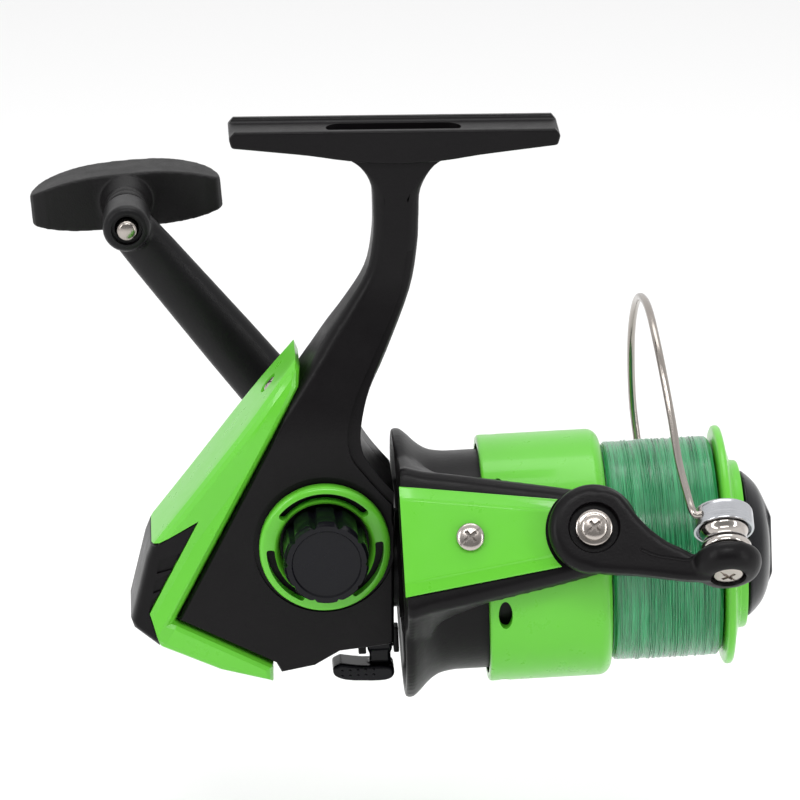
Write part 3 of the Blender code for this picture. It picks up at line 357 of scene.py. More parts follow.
# %% Metal
def metal(name, colour, roughness, axis, lines=5200.0, relief=0.08, tarnish=0.12):
    made = bpy.data.materials.new(name)
    made.use_nodes = True
    nodes, links = made.node_tree.nodes, made.node_tree.links
    nodes.clear()
    output = nodes.new("ShaderNodeOutputMaterial")
    output.label = "Surface"
    shader = nodes.new("ShaderNodeBsdfPrincipled")
    shader.label = "Metal"
    place = nodes.new("ShaderNodeTexCoord")
    place.label = "Place on the reel"
    lathe_frame = nodes.new("NodeFrame")
    lathe_frame.label = "Lathe lines round the axis"
    tarnish_frame = nodes.new("NodeFrame")
    tarnish_frame.label = "Tarnish and finger marks"
    turn = nodes.new("ShaderNodeMapping")
    turn.label = "Turned to the part's axis"
    turn.parent = lathe_frame
    turn.vector_type = "TEXTURE"
    turn.inputs["Location"].default_value = axis.translation
    turn.inputs["Rotation"].default_value = axis.to_3x3().normalized().to_euler()
    squeeze = nodes.new("ShaderNodeMapping")
    squeeze.label = "Fine along, long around"
    squeeze.parent = lathe_frame
    squeeze.inputs["Scale"].default_value = (lines, 90.0, 90.0)
    scratches = nodes.new("ShaderNodeTexNoise")
    scratches.label = "Tool lines"
    scratches.parent = lathe_frame
    scratches.inputs["Scale"].default_value = 1.0
    scratches.inputs["Detail"].default_value = 5.0
    scratches.inputs["Roughness"].default_value = 0.6
    bump = nodes.new("ShaderNodeBump")
    bump.label = "Line relief"
    bump.parent = lathe_frame
    bump.inputs["Strength"].default_value = relief
    bump.inputs["Distance"].default_value = 0.0001
    marks = nodes.new("ShaderNodeTexNoise")
    marks.label = "Finger marks"
    marks.parent = tarnish_frame
    marks.inputs["Scale"].default_value = 320.0
    marks.inputs["Detail"].default_value = 5.0
    shade = nodes.new("ShaderNodeMix")
    shade.label = "Clean and dull metal"
    shade.parent = tarnish_frame
    shade.data_type = "RGBA"
    shade.inputs["A"].default_value = (*[value * (1 - tarnish) for value in colour], 1.0)
    shade.inputs["B"].default_value = (*colour, 1.0)
    gloss = nodes.new("ShaderNodeMapRange")
    gloss.label = "Roughness range"
    gloss.parent = tarnish_frame
    gloss.inputs["From Min"].default_value = 0.25
    gloss.inputs["From Max"].default_value = 0.75
    gloss.inputs["To Min"].default_value = roughness * 0.7
    gloss.inputs["To Max"].default_value = min(1.0, roughness * 1.4)
    shader.inputs["Metallic"].default_value = 1.0
    links.new(place.outputs["Object"], turn.inputs["Vector"])
    links.new(turn.outputs["Vector"], squeeze.inputs["Vector"])
    links.new(squeeze.outputs["Vector"], scratches.inputs["Vector"])
    links.new(scratches.outputs["Fac"], bump.inputs["Height"])
    links.new(scratches.outputs["Fac"], gloss.inputs["Value"])
    links.new(place.outputs["Object"], marks.inputs["Vector"])
    links.new(marks.outputs["Fac"], shade.inputs["Factor"])
    links.new(shade.outputs["Result"], shader.inputs["Base Color"])
    links.new(gloss.outputs["Result"], shader.inputs["Roughness"])
    links.new(bump.outputs["Normal"], shader.inputs["Normal"])
    links.new(shader.outputs["BSDF"], output.inputs["Surface"])
    columns = [(place,), (turn, marks), (squeeze, shade), (scratches, gloss), (bump,), (shader,), (output,)]
    for column, members in enumerate(columns):
        for row, item in enumerate(members):
            item.location = (column * 240 - 900, 300 - row * 300)
    return made

# %% [markdown]
# The wound line is hundreds of turns of clear green nylon. Each turn is a thin lens, so the pack shows
# streaks round the spool: dark between the turns and bright where one catches the light. The ridges are
# real; the material paints the streaks into the colour, as painted shade between the turns and painted
# glints on them, and adds some light inside the nylon and a wet-looking coat.

# %% Nylon line
# Of the two colours, the dark one is painted shade between the turns and the light one a painted glint on them.
def wound_nylon(name, painted_gap_shade, light, axis):
    made = bpy.data.materials.new(name)
    made.use_nodes = True
    nodes, links = made.node_tree.nodes, made.node_tree.links
    nodes.clear()
    output = nodes.new("ShaderNodeOutputMaterial")
    output.label = "Surface"
    shader = nodes.new("ShaderNodeBsdfPrincipled")
    shader.label = "Clear nylon"
    place = nodes.new("ShaderNodeTexCoord")
    place.label = "Place on the reel"
    strand_frame = nodes.new("NodeFrame")
    strand_frame.label = "Single turns of line"
    turn = nodes.new("ShaderNodeMapping")
    turn.label = "Turned to the spool's axis"
    turn.parent = strand_frame
    turn.vector_type = "TEXTURE"
    turn.inputs["Location"].default_value = axis.translation
    turn.inputs["Rotation"].default_value = axis.to_3x3().normalized().to_euler()
    squeeze = nodes.new("ShaderNodeMapping")
    squeeze.label = "Narrow along, long around"
    squeeze.parent = strand_frame
    squeeze.inputs["Scale"].default_value = (3900.0, 55.0, 55.0)
    strands = nodes.new("ShaderNodeTexNoise")
    strands.label = "Strands"
    strands.parent = strand_frame
    strands.inputs["Scale"].default_value = 1.0
    strands.inputs["Detail"].default_value = 3.0
    strands.inputs["Roughness"].default_value = 0.65
    # Painted light and shade: the ramp's dark end is painted shade between the turns, its bright end a painted
    # glint.
    ramp = nodes.new("ShaderNodeValToRGB")
    ramp.label = "Painted shade to painted glint"
    ramp.color_ramp.elements[0].position = 0.34
    ramp.color_ramp.elements[0].color = (*painted_gap_shade, 1.0)
    ramp.color_ramp.elements[1].position = 0.68
    ramp.color_ramp.elements[1].color = (*light, 1.0)
    gloss = nodes.new("ShaderNodeMapRange")
    gloss.label = "Glints between dull turns"
    gloss.inputs["From Min"].default_value = 0.3
    gloss.inputs["From Max"].default_value = 0.7
    gloss.inputs["To Min"].default_value = 0.20
    gloss.inputs["To Max"].default_value = 0.42
    bump = nodes.new("ShaderNodeBump")
    bump.label = "Strand relief"
    bump.inputs["Strength"].default_value = 0.45
    bump.inputs["Distance"].default_value = 0.0002
    shader.inputs["Coat Weight"].default_value = 0.5
    shader.inputs["Coat Roughness"].default_value = 0.16
    shader.inputs["Subsurface Weight"].default_value = 0.25
    shader.inputs["Subsurface Radius"].default_value = (0.001, 0.003, 0.0015)
    shader.inputs["Subsurface Scale"].default_value = 0.5
    links.new(place.outputs["Object"], turn.inputs["Vector"])
    links.new(turn.outputs["Vector"], squeeze.inputs["Vector"])
    links.new(squeeze.outputs["Vector"], strands.inputs["Vector"])
    links.new(strands.outputs["Fac"], ramp.inputs["Fac"])
    links.new(strands.outputs["Fac"], gloss.inputs["Value"])
    links.new(strands.outputs["Fac"], bump.inputs["Height"])
    links.new(ramp.outputs["Color"], shader.inputs["Base Color"])
    links.new(gloss.outputs["Result"], shader.inputs["Roughness"])
    links.new(bump.outputs["Normal"], shader.inputs["Normal"])
    links.new(shader.outputs["BSDF"], output.inputs["Surface"])
    columns = [(place,), (turn,), (squeeze,), (strands,), (ramp, gloss, bump), (shader,), (output,)]
    for column, members in enumerate(columns):
        for row, item in enumerate(members):
            item.location = (column * 240 - 900, 300 - row * 300)
    return made

# %% [markdown]
# The blacks are almost black, and their shine is below that of bare plastic, because a satin surface
# with a fine texture returns little of the room. The green is strong and its coat is thin, so that the
# flat faces keep their colour and only the edges glint.

# %% The reel's finishes
BLACK = moulded("satin_black_plastic", (0.0046, 0.0040, 0.0046), 0.36, relief=0.16, shine=0.15)
GREEN = moulded("painted_green", (0.118, 0.53, 0.030), 0.30, grain=900.0, relief=0.03, mottle=0.04, coat=0.25,
                coat_roughness=0.08, shine=0.35)
GLOSS = moulded("gloss_black", (0.0042, 0.0042, 0.0062), 0.24, grain=1200.0, relief=0.05, coat=0.05,
                coat_roughness=0.12, shine=0.16)
RUBBER = moulded("soft_grip", (0.0065, 0.0060, 0.0065), 0.46, grain=2600.0, relief=0.28, shine=0.22)
ARM_PAINT = moulded("satin_black_paint", (0.0050, 0.0046, 0.0054), 0.38, grain=3200.0, relief=0.22,
                    shine=0.22)
FELT = moulded("pressed_felt", (0.20, 0.18, 0.16), 0.95, grain=4200.0, relief=0.6, mottle=0.3)
STEEL = metal("nickel_steel", (0.40, 0.365, 0.335), 0.20, SHAFT)
SCREW_STEEL = metal("nickel_screws", (0.50, 0.455, 0.42), 0.22, ROTOR @ Matrix.Rotation(math.pi / 2, 4, "Z"))
CHROME = metal("polished_chrome", (0.60, 0.555, 0.52), 0.12, ROLLER)
ALLOY = metal("turned_aluminium", (0.56, 0.57, 0.60), 0.22, ROLLER, relief=0.12)
BRASS = metal("machined_brass", (0.72, 0.50, 0.20), 0.30, SHAFT)
# The two nylon colours are the painted shade between the turns and the painted glint on them.
NYLON = wound_nylon("green_nylon_line", (0.005, 0.125, 0.042), (0.040, 0.40, 0.155), SHAFT)
print("12 finishes for 11 record slots")

# %% [markdown]
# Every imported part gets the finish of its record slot, those inside the case as well, so that the reel
# is right when it is opened or turned.

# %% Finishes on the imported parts
FINISH_OF_SLOT = {"black_plastic": BLACK, "green_paint": GREEN, "gloss_black": GLOSS, "grip_rubber": RUBBER,
                  "painted_metal": ARM_PAINT, "steel": STEEL, "chrome": CHROME, "aluminium": ALLOY,
                  "brass": BRASS, "line": NYLON, "felt": FELT}
for item in frame["record"]["subparts"]:
    node = frame["nodes"][item["node"]]
    node.data.materials.clear()
    node.data.materials.append(FINISH_OF_SLOT[item["material_slot"]])

# %% [markdown]
# ## Foot, stem and gear case
# The foot, stem and near half of the case are one casting. Its outline is drawn once, extruded, and cut
# into level bands. The stem is thin and the case is deep, so each band is then spread sideways by its
# height: the stem's rounded edges run down into the case with no step, as they do on the casting. Two
# solids joined by a union would leave a ledge there.

# %% Body outline and its spread
STEM_HALF = 5.5
CASE_NEAR = -12.0
CASE_FAR = 12.5
SPLIT = 4.0
STEM_LEFT = smooth_line([(-18.6, -51.0), (-14.6, -44.4), (-10.6, -38.6), (-6.2, -31.2), (-4.7, -24.0),
                         (-4.5, -17.6), (-5.0, -11.6), (-7.4, -7.4), (-11.5, -4.6)])
STEM_RIGHT = smooth_line([(13.6, -4.6), (8.7, -7.0), (5.6, -12.4), (5.2, -18.4), (4.9, -25.0), (3.2, -35.0),
                          (-1.8, -48.0), (-5.6, -56.0), (-7.3, -63.0), (-7.2, -68.6), (-4.6, -73.2),
                          (-0.4, -78.2)])
CASE_REST = [(-0.4, -112.4), (-2.4, -112.9), (-12.1, -114.1), (-17.5, -117.3), (-24.8, -118.8),
             (-26.0, -116.6), (-47.2, -106.3), (-20.8, -54.6)]
BODY = STEM_LEFT + STEM_RIGHT + CASE_REST


def depth_at(z, side):
    """Half depth of the body at a height: the stem's above, the case's below."""
    full = -CASE_NEAR if side < 0 else CASE_FAR
    return STEM_HALF + (full - STEM_HALF) * ease(-z, 32.0, 67.0)


def spread(bm, scale=1.0):
    """Cuts the solid into level bands and moves its sides out to the body's depth."""
    for level in range(30, 70, 2):
        bmesh.ops.bisect_plane(bm, geom=bm.verts[:] + bm.edges[:] + bm.faces[:], dist=WELD,
                               plane_co=(0, 0, -level), plane_no=(0, 0, 1))
    for vert in bm.verts:
        side = -1 if vert.co.y < 0 else 1
        vert.co.y *= scale * depth_at(vert.co.z, side) / STEM_HALF
    return bm


def along_y(edge):
    first, second = (vert.co for vert in edge.verts)
    return abs(first.y - second.y) > 0.9 * (first - second).length


def weighted_bevel(bm, width, weight_of, segments=4):
    """Rounds rim edges by a width that changes along the rim, then returns the finished bmesh."""
    layer = bm.edges.layers.float.new("bevel_weight_edge")
    for edge in bm.edges:
        if edge.calc_face_angle(0) > math.radians(60) and not along_y(edge):
            middle = (edge.verts[0].co + edge.verts[1].co) / 2
            edge[layer] = weight_of(middle)
    target = working_object(bm)
    bevel = target.modifiers.new("rounds", "BEVEL")
    bevel.limit_method = "WEIGHT"
    bevel.width = width
    bevel.segments = segments
    bevel.use_clamp_overlap = False
    return applied([target])


def body_rounding(middle):
    """Wide rounds on the stem, narrow ones on the case."""
    return ease(-middle.z, 4.8, 14.0) * (1.0 - 0.72 * ease(-middle.z, 46.0, 62.0))


def body_form():
    return spread(weighted_bevel(prism(BODY, -STEM_HALF, STEM_HALF), 2.4, body_rounding))

# %% [markdown]
# The foot is a long thin bar that the rod's seat clamps. Its top is a shallow trough that fits the rod,
# with an oval pocket that saves plastic, and its ends taper so that the hoods of the seat slide on. The
# bar is extruded from its side view, and the trough and the pocket are cut from it, as a mould's core
# would leave them.

# %% Rod foot
FOOT_HALF = 35.2
FOOT_SIDE = 7.0
under = smooth_line([(-34.6, -2.6), (-27.0, -3.4), (-18.0, -4.4), (-10.0, -5.6), (0.0, -6.4), (10.0, -5.8),
                     (18.0, -4.6), (27.0, -3.5), (34.6, -2.6)], 3)
foot_line = under + [(FOOT_HALF, -0.4), (FOOT_HALF - 1.2, 1.0), (-FOOT_HALF + 1.2, 1.0), (-FOOT_HALF, -0.4)]
foot = rounded(prism(foot_line, -FOOT_SIDE, FOOT_SIDE), 0.55, 3, angle=50)
trough = block((-40, -FOOT_SIDE + 1.5, 0.0), (40, FOOT_SIDE - 1.5, 4.0))
trough = rounded(trough, 1.3, 4,
                 keep=lambda edge: max(vert.co.z for vert in edge.verts) < 1 and not along_y(edge))
foot = combined(foot, trough)
pocket = prism(arc(11.0, 0, 3.4, 90, -90, 16) + arc(-11.0, 0, 3.4, -90, -270, 16), -2.0, 2.0)
pocket = placed(pocket, Matrix.Rotation(math.pi / 2, 4, "X"))
foot = combined(foot, pocket)

# %% [markdown]
# In front of a curved step, the casting's near face lies a little lower. A thin solid with that outline
# is spread like the body and then cut from it. The cut so follows the side as it widens, and deepens
# from about half a millimetre on the stem to one on the case.

# %% Casting with its lowered front
LID_LEVEL = -60.9
LID_GAP = 0.5
STEP_LINE = smooth_line([(2.6, -26.0), (0.8, -36.0), (-4.2, -47.5), (-8.6, -57.0), (-10.4, -64.5),
                         (-9.6, -70.0), (-6.6, -74.2), (-3.6, -77.8), (3.0, -85.0)])
LOWERED = STEP_LINE + [(12.0, -85.0), (12.0, -26.0)]
housing = body_form()
lowered = spread(prism(LOWERED, -STEM_HALF - 3.0, -STEM_HALF + 0.45))
housing = combined(housing, lowered)
housing = combined(housing, foot, "UNION")
clutch_bore = turned([(-14.0, 0), (-14.0, 7.9), (12.0, 7.9), (12.0, 0)], 44)
housing = combined(housing, placed(clutch_bore, SHAFT_ON_BODY))
housing = combined(housing, block((-60, SPLIT, -130), (20, 40, LID_LEVEL + LID_GAP)))
print("casting with its foot has", len(housing.faces), "faces")

# %% [markdown]
# The case is hollow, and the parts inside need their room. The hollow is the same outline moved in by a
# wall, with bores for the bearing and the pinion.

# %% Room inside, and the bores
WALL = 2.0
ROOM = [(-9.6, -66.0), (-9.4, -71.6), (-2.6, -79.2), (-2.6, -110.4), (-12.8, -112.0), (-18.4, -115.3),
        (-23.6, -116.4), (-25.0, -114.4), (-44.2, -105.4), (-21.4, -60.0), (-12.0, -61.0)]
housing = combined(housing, prism(ROOM, CASE_NEAR + WALL + 0.6, SPLIT + 2))
bore = turned([(-13.0, 0), (-13.0, 6.9), (-6.8, 6.9), (-6.8, 0)], 48)
housing = combined(housing, placed(bore, AXLE_ON_BODY))
recess = turned([(-13.5, 0), (-13.5, 15.3), (-11.4, 15.3), (-11.4, 0)], 96)
housing = combined(housing, placed(recess, AXLE_ON_BODY))
clutch = turned([(-1.6, 8.0), (-1.6, 9.5), (0.6, 9.5), (0.6, 12.0), (8.4, 10.5), (8.8, 10.1), (8.8, 8.0)], 64)
housing = joined(housing, placed(clutch, SHAFT_ON_BODY))

# %% [markdown]
# The lever under the case hangs between two small ears on a pin. All three are part of the casting.

# %% Ears and pin of the anti-reverse lever
LEVER_AXIS = -18.2
for start, end in ((-8.6, -6.9), (-0.9, 0.3)):
    ear = rounded(block((start, -1.8, LEVER_AXIS - 1.9), (end, 1.8, LEVER_AXIS + 3.9)), 0.3, 2)
    housing = joined(housing, placed(ear, SHAFT_ON_BODY))
pin = turned([(-7.4, 0), (-7.4, 0.9), (-0.4, 0.9), (-0.4, 0)], 20)
housing = joined(housing, placed(pin, SHAFT_ON_BODY @ Matrix.Translation((0, 0, LEVER_AXIS))))
finish("case_and_stem", housing, WORLD, "reel_body", BLACK, ("body_housing",))

# %% [markdown]
# The far half of the case is a lid held by three screws. It is the same body form, kept only beyond the
# parting plane, so its rim meets the casting all round.

# %% Side cover
lid = body_form()
lid = combined(lid, block((-60, SPLIT + 0.3, -130), (20, 40, LID_LEVEL)), "INTERSECT")
lid = combined(lid, prism(ROOM, SPLIT - 2, CASE_FAR - WALL - 0.5))
boss = turned([(8.4, 0), (8.4, 8.4), (14.2, 8.4), (14.6, 8.0), (14.6, 0)], 64)
lid = combined(lid, placed(boss, AXLE_ON_BODY), "UNION")
bearing_bore = turned([(7.6, 0), (7.6, 6.8), (16.0, 6.8), (16.0, 0)], 56)
lid = combined(lid, placed(bearing_bore, AXLE_ON_BODY))
clutch_clearance = turned([(-5.5, 0), (-5.5, 9.9), (3.0, 9.9), (3.0, 0)], 52)
lid = combined(lid, placed(clutch_clearance, SHAFT_ON_BODY))
finish("side_lid", lid, WORLD, "reel_body", BLACK, ("side_cover",))

# %% [markdown]
# The green cover wraps the back of the case. Its sides are not flat: sharp folds fan out from its top,
# so that each facet takes the light differently. The folds are lines cut across the side and pushed in
# or out; between them the face stays flat.

# %% Rear cover
REAR = [(-21.3, -48.8), (-20.4, -51.0), (-20.6, -54.9), (-47.4, -106.6), (-26.4, -117.0), (-26.4, -121.3),
        (-38.0, -118.4), (-51.0, -112.8), (-56.6, -108.3), (-57.2, -106.5), (-53.8, -92.4), (-52.6, -89.4),
        (-44.0, -78.4), (-31.4, -62.0), (-28.4, -58.0)]


def fold(bm, start, end, push, reach):
    """A fold along a line on the sides: points near it move by push, fading to none at reach."""
    along = Vector((end[0] - start[0], 0, end[1] - start[1])).normalized()
    across = along.cross(Vector((0, 1, 0)))
    middle = Vector((start[0], 0, start[1]))
    for shift in (-reach, 0.0, reach):
        bmesh.ops.bisect_plane(bm, geom=bm.verts[:] + bm.edges[:] + bm.faces[:], dist=WELD,
                               plane_co=middle + across * shift, plane_no=across)
    length = math.hypot(end[0] - start[0], end[1] - start[1])
    for vert in bm.verts:
        offset = Vector((vert.co.x, 0, vert.co.z)) - middle
        fade = 1 - abs(offset.dot(across)) / reach
        run = offset.dot(along) / length
        if fade > 0 and abs(vert.co.y) > 0.8 * STEM_HALF and -0.05 < run < 1.05:
            vert.co.y += math.copysign(push * fade * ease(run, -0.05, 0.35), vert.co.y)
    return bm


def rear_rounding(middle):
    behind = middle.x + 0.55 * middle.z < -47.5 or middle.z < -110 and middle.x < -27
    return 1.0 if behind else 0.16


cover = weighted_bevel(prism(REAR, -STEM_HALF, STEM_HALF), 1.7, rear_rounding, 3)
cover = fold(cover, (-22.0, -55.0), (-50.4, -107.6), -0.35, 2.6)
cover = fold(cover, (-22.4, -53.0), (-44.0, -84.0), 0.30, 3.4)
cover = spread(cover, 1.012)
behind_case = [(x + 0.3, z) for x, z in CASE_REST] + [(-10, -50), (10, -60)]
cover = combined(cover, spread(prism(behind_case, -30, 30)))
HOLLOW = [(-22.4, -56.6), (-22.4, -60.0), (-45.5, -105.0), (-47.2, -109.7), (-48.6, -109.2), (-53.2, -104.6),
          (-50.0, -91.0), (-30.6, -66.0)]
cover = combined(cover, prism(HOLLOW, CASE_NEAR + 2.6, CASE_FAR - 2.6))
NOTCH = [(-70.0, -92.4), (-53.6, -89.8), (-50.8, -88.6), (-42.4, -83.6), (-53.1, -104.6), (-50.6, -112.9),
         (-52.0, -120.0), (-70.0, -118.0)]
cover = combined(cover, prism(NOTCH, -30, 30))
screw_seat = axes((-0.027, -0.0008, -0.0564), (-0.7966, 0, 0.6045), (0, 1, 0))
seat_bore = turned([(-9, 0), (-9, 1.3), (-1.2, 1.3), (-1.2, 2.5), (6, 2.5), (6, 0)], 28)
cover = combined(cover, placed(seat_bore, WORLD.inverted() @ screw_seat))
finish("rear_shell", cover, WORLD, "reel_body", GREEN, ("rear_cover",), sharp=12)

# %% [markdown]
# The black bumper fills the notch in the cover, so that the reel can be stood down without scratching
# the paint. It is cut from the same form as the cover, a little smaller, so the two are almost flush.
# Three slanted panels are sunk into its near side, each smaller than the one above.

# %% Rear bumper, with its three sunk panels
BUMPER_PLAN = [(-70.0, -92.7), (-53.5, -90.2), (-50.9, -89.0), (-42.9, -84.4), (-53.4, -104.6),
               (-51.0, -112.7), (-52.4, -119.6), (-70.0, -117.7)]
BUMPER_ROOM = [(-40, -80), (-40, -96.5), (-48.0, -109.5), (-52.6, -107.6), (-54.3, -98.0), (-51.6, -91.4)]
bumper = spread(weighted_bevel(prism(REAR, -STEM_HALF, STEM_HALF), 1.6, rear_rounding, 3), 0.985)
bumper = combined(bumper, prism(BUMPER_PLAN, -30, 30), "INTERSECT")
bumper = combined(bumper, prism(BUMPER_ROOM, -9.0, 9.4))
PANEL_PITCH = 4.5
for index in range(3):
    low = -92.6 - PANEL_PITCH * index
    left = -51.0 - 0.9 * index
    panel = prism([(left, low), (left + 4.6 - 1.2 * index, low + 1.7), (left + 2.9 - 0.9 * index, low - 2.0),
                   (left - 0.5, low - 3.0)], -14, -11.2)
    bumper = combined(bumper, panel)
finish("bumper_pad", bumper, WORLD, "reel_body", BLACK, ("rear_bumper",))

# %% [markdown]
# ## Screws
# Every screw that shows has a shallow dome, a crossed recess and one thin slot across the whole head.
# One function makes the head at any size, with a plain shank behind it. The cuts are real, because the
# dark cross is what tells the eye that this is a screw.

# %% One screw head
DRIVER_TURN = math.radians(38)


def screw_head(radius, height, shank, length):
    """A domed head with its top towards +X, its underside at X = 0, and a crossed recess."""
    dome = [(0.45 * height + 0.55 * height * math.cos(t * math.pi / 16), radius * math.sin(t * math.pi / 16))
            for t in range(9)]
    head = turned([(-length, 0), (-length, shank), (0, shank), (0, radius * 0.96), (0.08 * height, radius)]
                  + dome[::-1], 40)
    for quarter in range(2):
        reach, half = 0.52 * radius, 0.13 * radius
        arm = block((0.20 * height, -reach, -half), (height + 1, reach, half))
        head = combined(head, placed(arm, Matrix.Rotation(DRIVER_TURN + quarter * math.pi / 2, 4, "X")))
    slot = block((0.62 * height, -radius - 1, -0.07 * radius), (height + 1, radius + 1, 0.07 * radius))
    head = combined(head, placed(slot, Matrix.Rotation(DRIVER_TURN, 4, "X")))
    middle = turned([(0.25 * height, 0), (height + 1, 0.36 * radius), (height + 1, 0)], 12)
    return combined(head, middle)

# %% Screws that show
OUT_NEAR = Matrix.Rotation(-math.pi / 2, 4, "Z")
OUT_FAR = Matrix.Rotation(math.pi / 2, 4, "Z")
COVER_SCREW_U = 15.6


def screw(name, sizes, matrix, body, stands_for):
    """One screw. Its sizes are the head's radius and height, and the shank's radius and length."""
    finish(name, screw_head(*sizes), matrix, body, SCREW_STEEL, (stands_for,), 35)


screw("near_cover_screw", (3.0, 1.6, 1.1, 2.6), ROTOR @ Matrix.Translation((COVER_SCREW_U, -33.2, 0)) @ OUT_NEAR,
      "rotor_body", "near_arm_cover_screw")
screw("far_cover_screw", (3.0, 1.6, 1.1, 2.6), ROTOR @ Matrix.Translation((COVER_SCREW_U, 33.2, 0)) @ OUT_FAR,
      "rotor_body", "far_arm_cover_screw")
screw("bail_pivot_screw", (2.9, 1.5, 1.6, 8.8), ROTOR @ Matrix.Translation((PIVOT_U, -38.1, 0)) @ OUT_NEAR,
      "bail", "bail_arm_screw")
screw("far_pivot_screw", (2.9, 1.5, 1.6, 8.4), ROTOR @ Matrix.Translation((PIVOT_U, 35.3, 0)) @ OUT_FAR,
      "bail", "bail_holder_screw")
for index, (x, z) in enumerate([(-10.6, -62.5), (-42.0, -103.2), (-4.2, -108.8)], 1):
    screw(f"lid_screw_{index}", (2.4, 1.4, 1.0, 5.8), WORLD @ Matrix.Translation((x, 12.7, z)) @ OUT_FAR,
          "reel_body", f"side_cover_screw_{index}")
screw("rear_shell_screw", (1.9, 1.1, 0.9, 5.0), screw_seat @ Matrix.Translation((-0.9, 0, 0)), "reel_body",
      "rear_cover_screw")

# %% [markdown]
# ## Axle bezel and cap
# The painted ring has three long curved slots that show the dark well under it. It is spun from its
# section, and the slots are cut from it. Inside it stands the axle cap, a glossy black cylinder with
# ten finger scallops and a sunk disc on its end. The scallops are dips in the outline, so one extrusion
# makes them all. The cap turns with the handle; the ring doesn't.

# %% Bezel ring
ring = turned([(-12.0, 9.6), (-12.0, 13.4), (-12.6, 14.1), (-14.2, 14.1), (-14.8, 13.9), (-15.2, 13.2),
               (-15.2, 10.9), (-14.9, 10.3), (-13.6, 9.9)], 128)
SLOT_ANGLES = ((92, 52), (214, 34), (334, 34))
SLOT_OUTSIDE, SLOT_INSIDE = 12.6, 10.8
for middle, half in SLOT_ANGLES:
    outside = arc(0, 0, SLOT_OUTSIDE, middle - half, middle + half, 24)
    inside = arc(0, 0, SLOT_INSIDE, middle + half, middle - half, 24)
    slot_tool = rounded(prism(outside + inside, -20, -11.0), 0.8, 3, angle=60, keep=along_y)
    ring = combined(ring, placed(slot_tool, Matrix.Rotation(-math.pi / 2, 4, "Z")))
finish("bezel_ring", ring, AXLE, "reel_body", GREEN, ("axle_bezel",), sharp=50)

# %% Scalloped cap
SCALLOPS = 10
CAP_RADIUS = 9.2
cap_line = []
for index in range(SCALLOPS):
    for step in range(12):
        angle = FULL_TURN * (index + step / 12) / SCALLOPS
        dip = max(0.0, math.cos(angle * SCALLOPS)) ** 3
        radius = CAP_RADIUS - 0.95 * dip
        cap_line.append((radius * math.cos(angle), radius * math.sin(angle)))
cap = placed(prism(cap_line, 12.8, 25.0), Matrix.Rotation(math.pi / 2, 4, "Z"))
bmesh.ops.recalc_face_normals(cap, faces=cap.faces)
crown = turned([(-27, 8.5), (-27, 20), (-20.4, 20), (-23.4, 9.1), (-24.4, 8.9), (-24.9, 8.6)], 96)
cap = combined(cap, crown)
disc = turned([(-26, 0), (-26, 7.5), (-24.9, 7.5), (-24.5, 7.2), (-24.5, 0)], 96)
cap = combined(cap, disc)
cap = combined(cap, turned([(-23.2, 0), (-23.2, 2.6), (-10, 2.6), (-10, 0)], 32))
finish("axle_cap", cap, AXLE, "drive_train", GLOSS, ("handle_cap",), sharp=32)

# %% [markdown]
# ## Handle
# The crank is an oval bar that tapers to a round boss. Sections along it are bridged into one skin,
# then fused with the boss and the hub: a union alone would leave hard creases where they meet. The
# pin's bright end shows in the boss.

# %% Crank arm
crank_at = AXLE.inverted() @ Vector(joints["knob_spin"]["pos_m"])
ARM_PLANE = crank_at.x
arm_length = math.hypot(crank_at.y, crank_at.z)
lean = math.atan2(crank_at.z, crank_at.y)
arm = bmesh.new()
rings = []
for reach, half_width, half_depth in ((-7.4, 3.0, 1.8), (-6.6, 5.2, 3.2), (-4.0, 6.6, 4.1), (4, 7.0, 4.4),
                                      (30, 6.5, 4.1), (56, 5.7, 3.7), (arm_length, 5.2, 3.4)):
    circle = bmesh.ops.create_circle(arm, segments=40, radius=1.0)["verts"]
    bmesh.ops.scale(arm, verts=circle, vec=(half_width, half_depth, 1))
    bmesh.ops.translate(arm, verts=circle, vec=(0, 0, reach))
    rings.append(list({edge for vert in circle for edge in vert.link_edges}))
for first, second in zip(rings, rings[1:]):
    bmesh.ops.bridge_loops(arm, edges=first + second)
for circle in (rings[0], rings[-1]):
    bmesh.ops.edgeloop_fill(arm, edges=circle)
lay = Matrix.Rotation(lean - math.pi / 2, 4, "X") @ Matrix.Rotation(-math.pi / 2, 4, "Z")
arm.transform(Matrix.Translation((ARM_PLANE, 0, 0)) @ lay)
bmesh.ops.recalc_face_normals(arm, faces=arm.faces)
HUB_RADIUS = 5.4
hub = turned([(15.0, 0), (15.0, 5.0), (15.6, HUB_RADIUS), (30.0, HUB_RADIUS), (32.0, 4.6), (ARM_PLANE - 8, 4.6),
              (ARM_PLANE - 4, HUB_RADIUS), (ARM_PLANE, HUB_RADIUS), (ARM_PLANE, 0)], 48)
boss = turned([(ARM_PLANE - 6.0, 0), (ARM_PLANE - 6.0, 4.6), (ARM_PLANE - 5.0, HUB_RADIUS),
               (ARM_PLANE + 4.8, HUB_RADIUS), (ARM_PLANE + 5.6, 4.8), (ARM_PLANE + 5.6, 0)], 48)
boss = placed(boss, Matrix.Translation((0, crank_at.y, crank_at.z)))
arm = moulded_together(joined(arm, hub, boss), 0.42, 4)
well = turned([(ARM_PLANE - 8, 0), (ARM_PLANE - 8, 3.7), (ARM_PLANE - 4.7, 3.4), (ARM_PLANE - 4.7, 2.75),
               (ARM_PLANE + 9, 2.75), (ARM_PLANE + 9, 0)], 40)
arm = combined(arm, placed(well, Matrix.Translation((0, crank_at.y, crank_at.z))))
arm = combined(arm, turned([(12, 0), (12, 2.6), (ARM_PLANE + 12, 2.6), (ARM_PLANE + 12, 0)], 36))
finish("crank_arm", arm, AXLE, "drive_train", ARM_PAINT, ("handle_arm",), sharp=50)

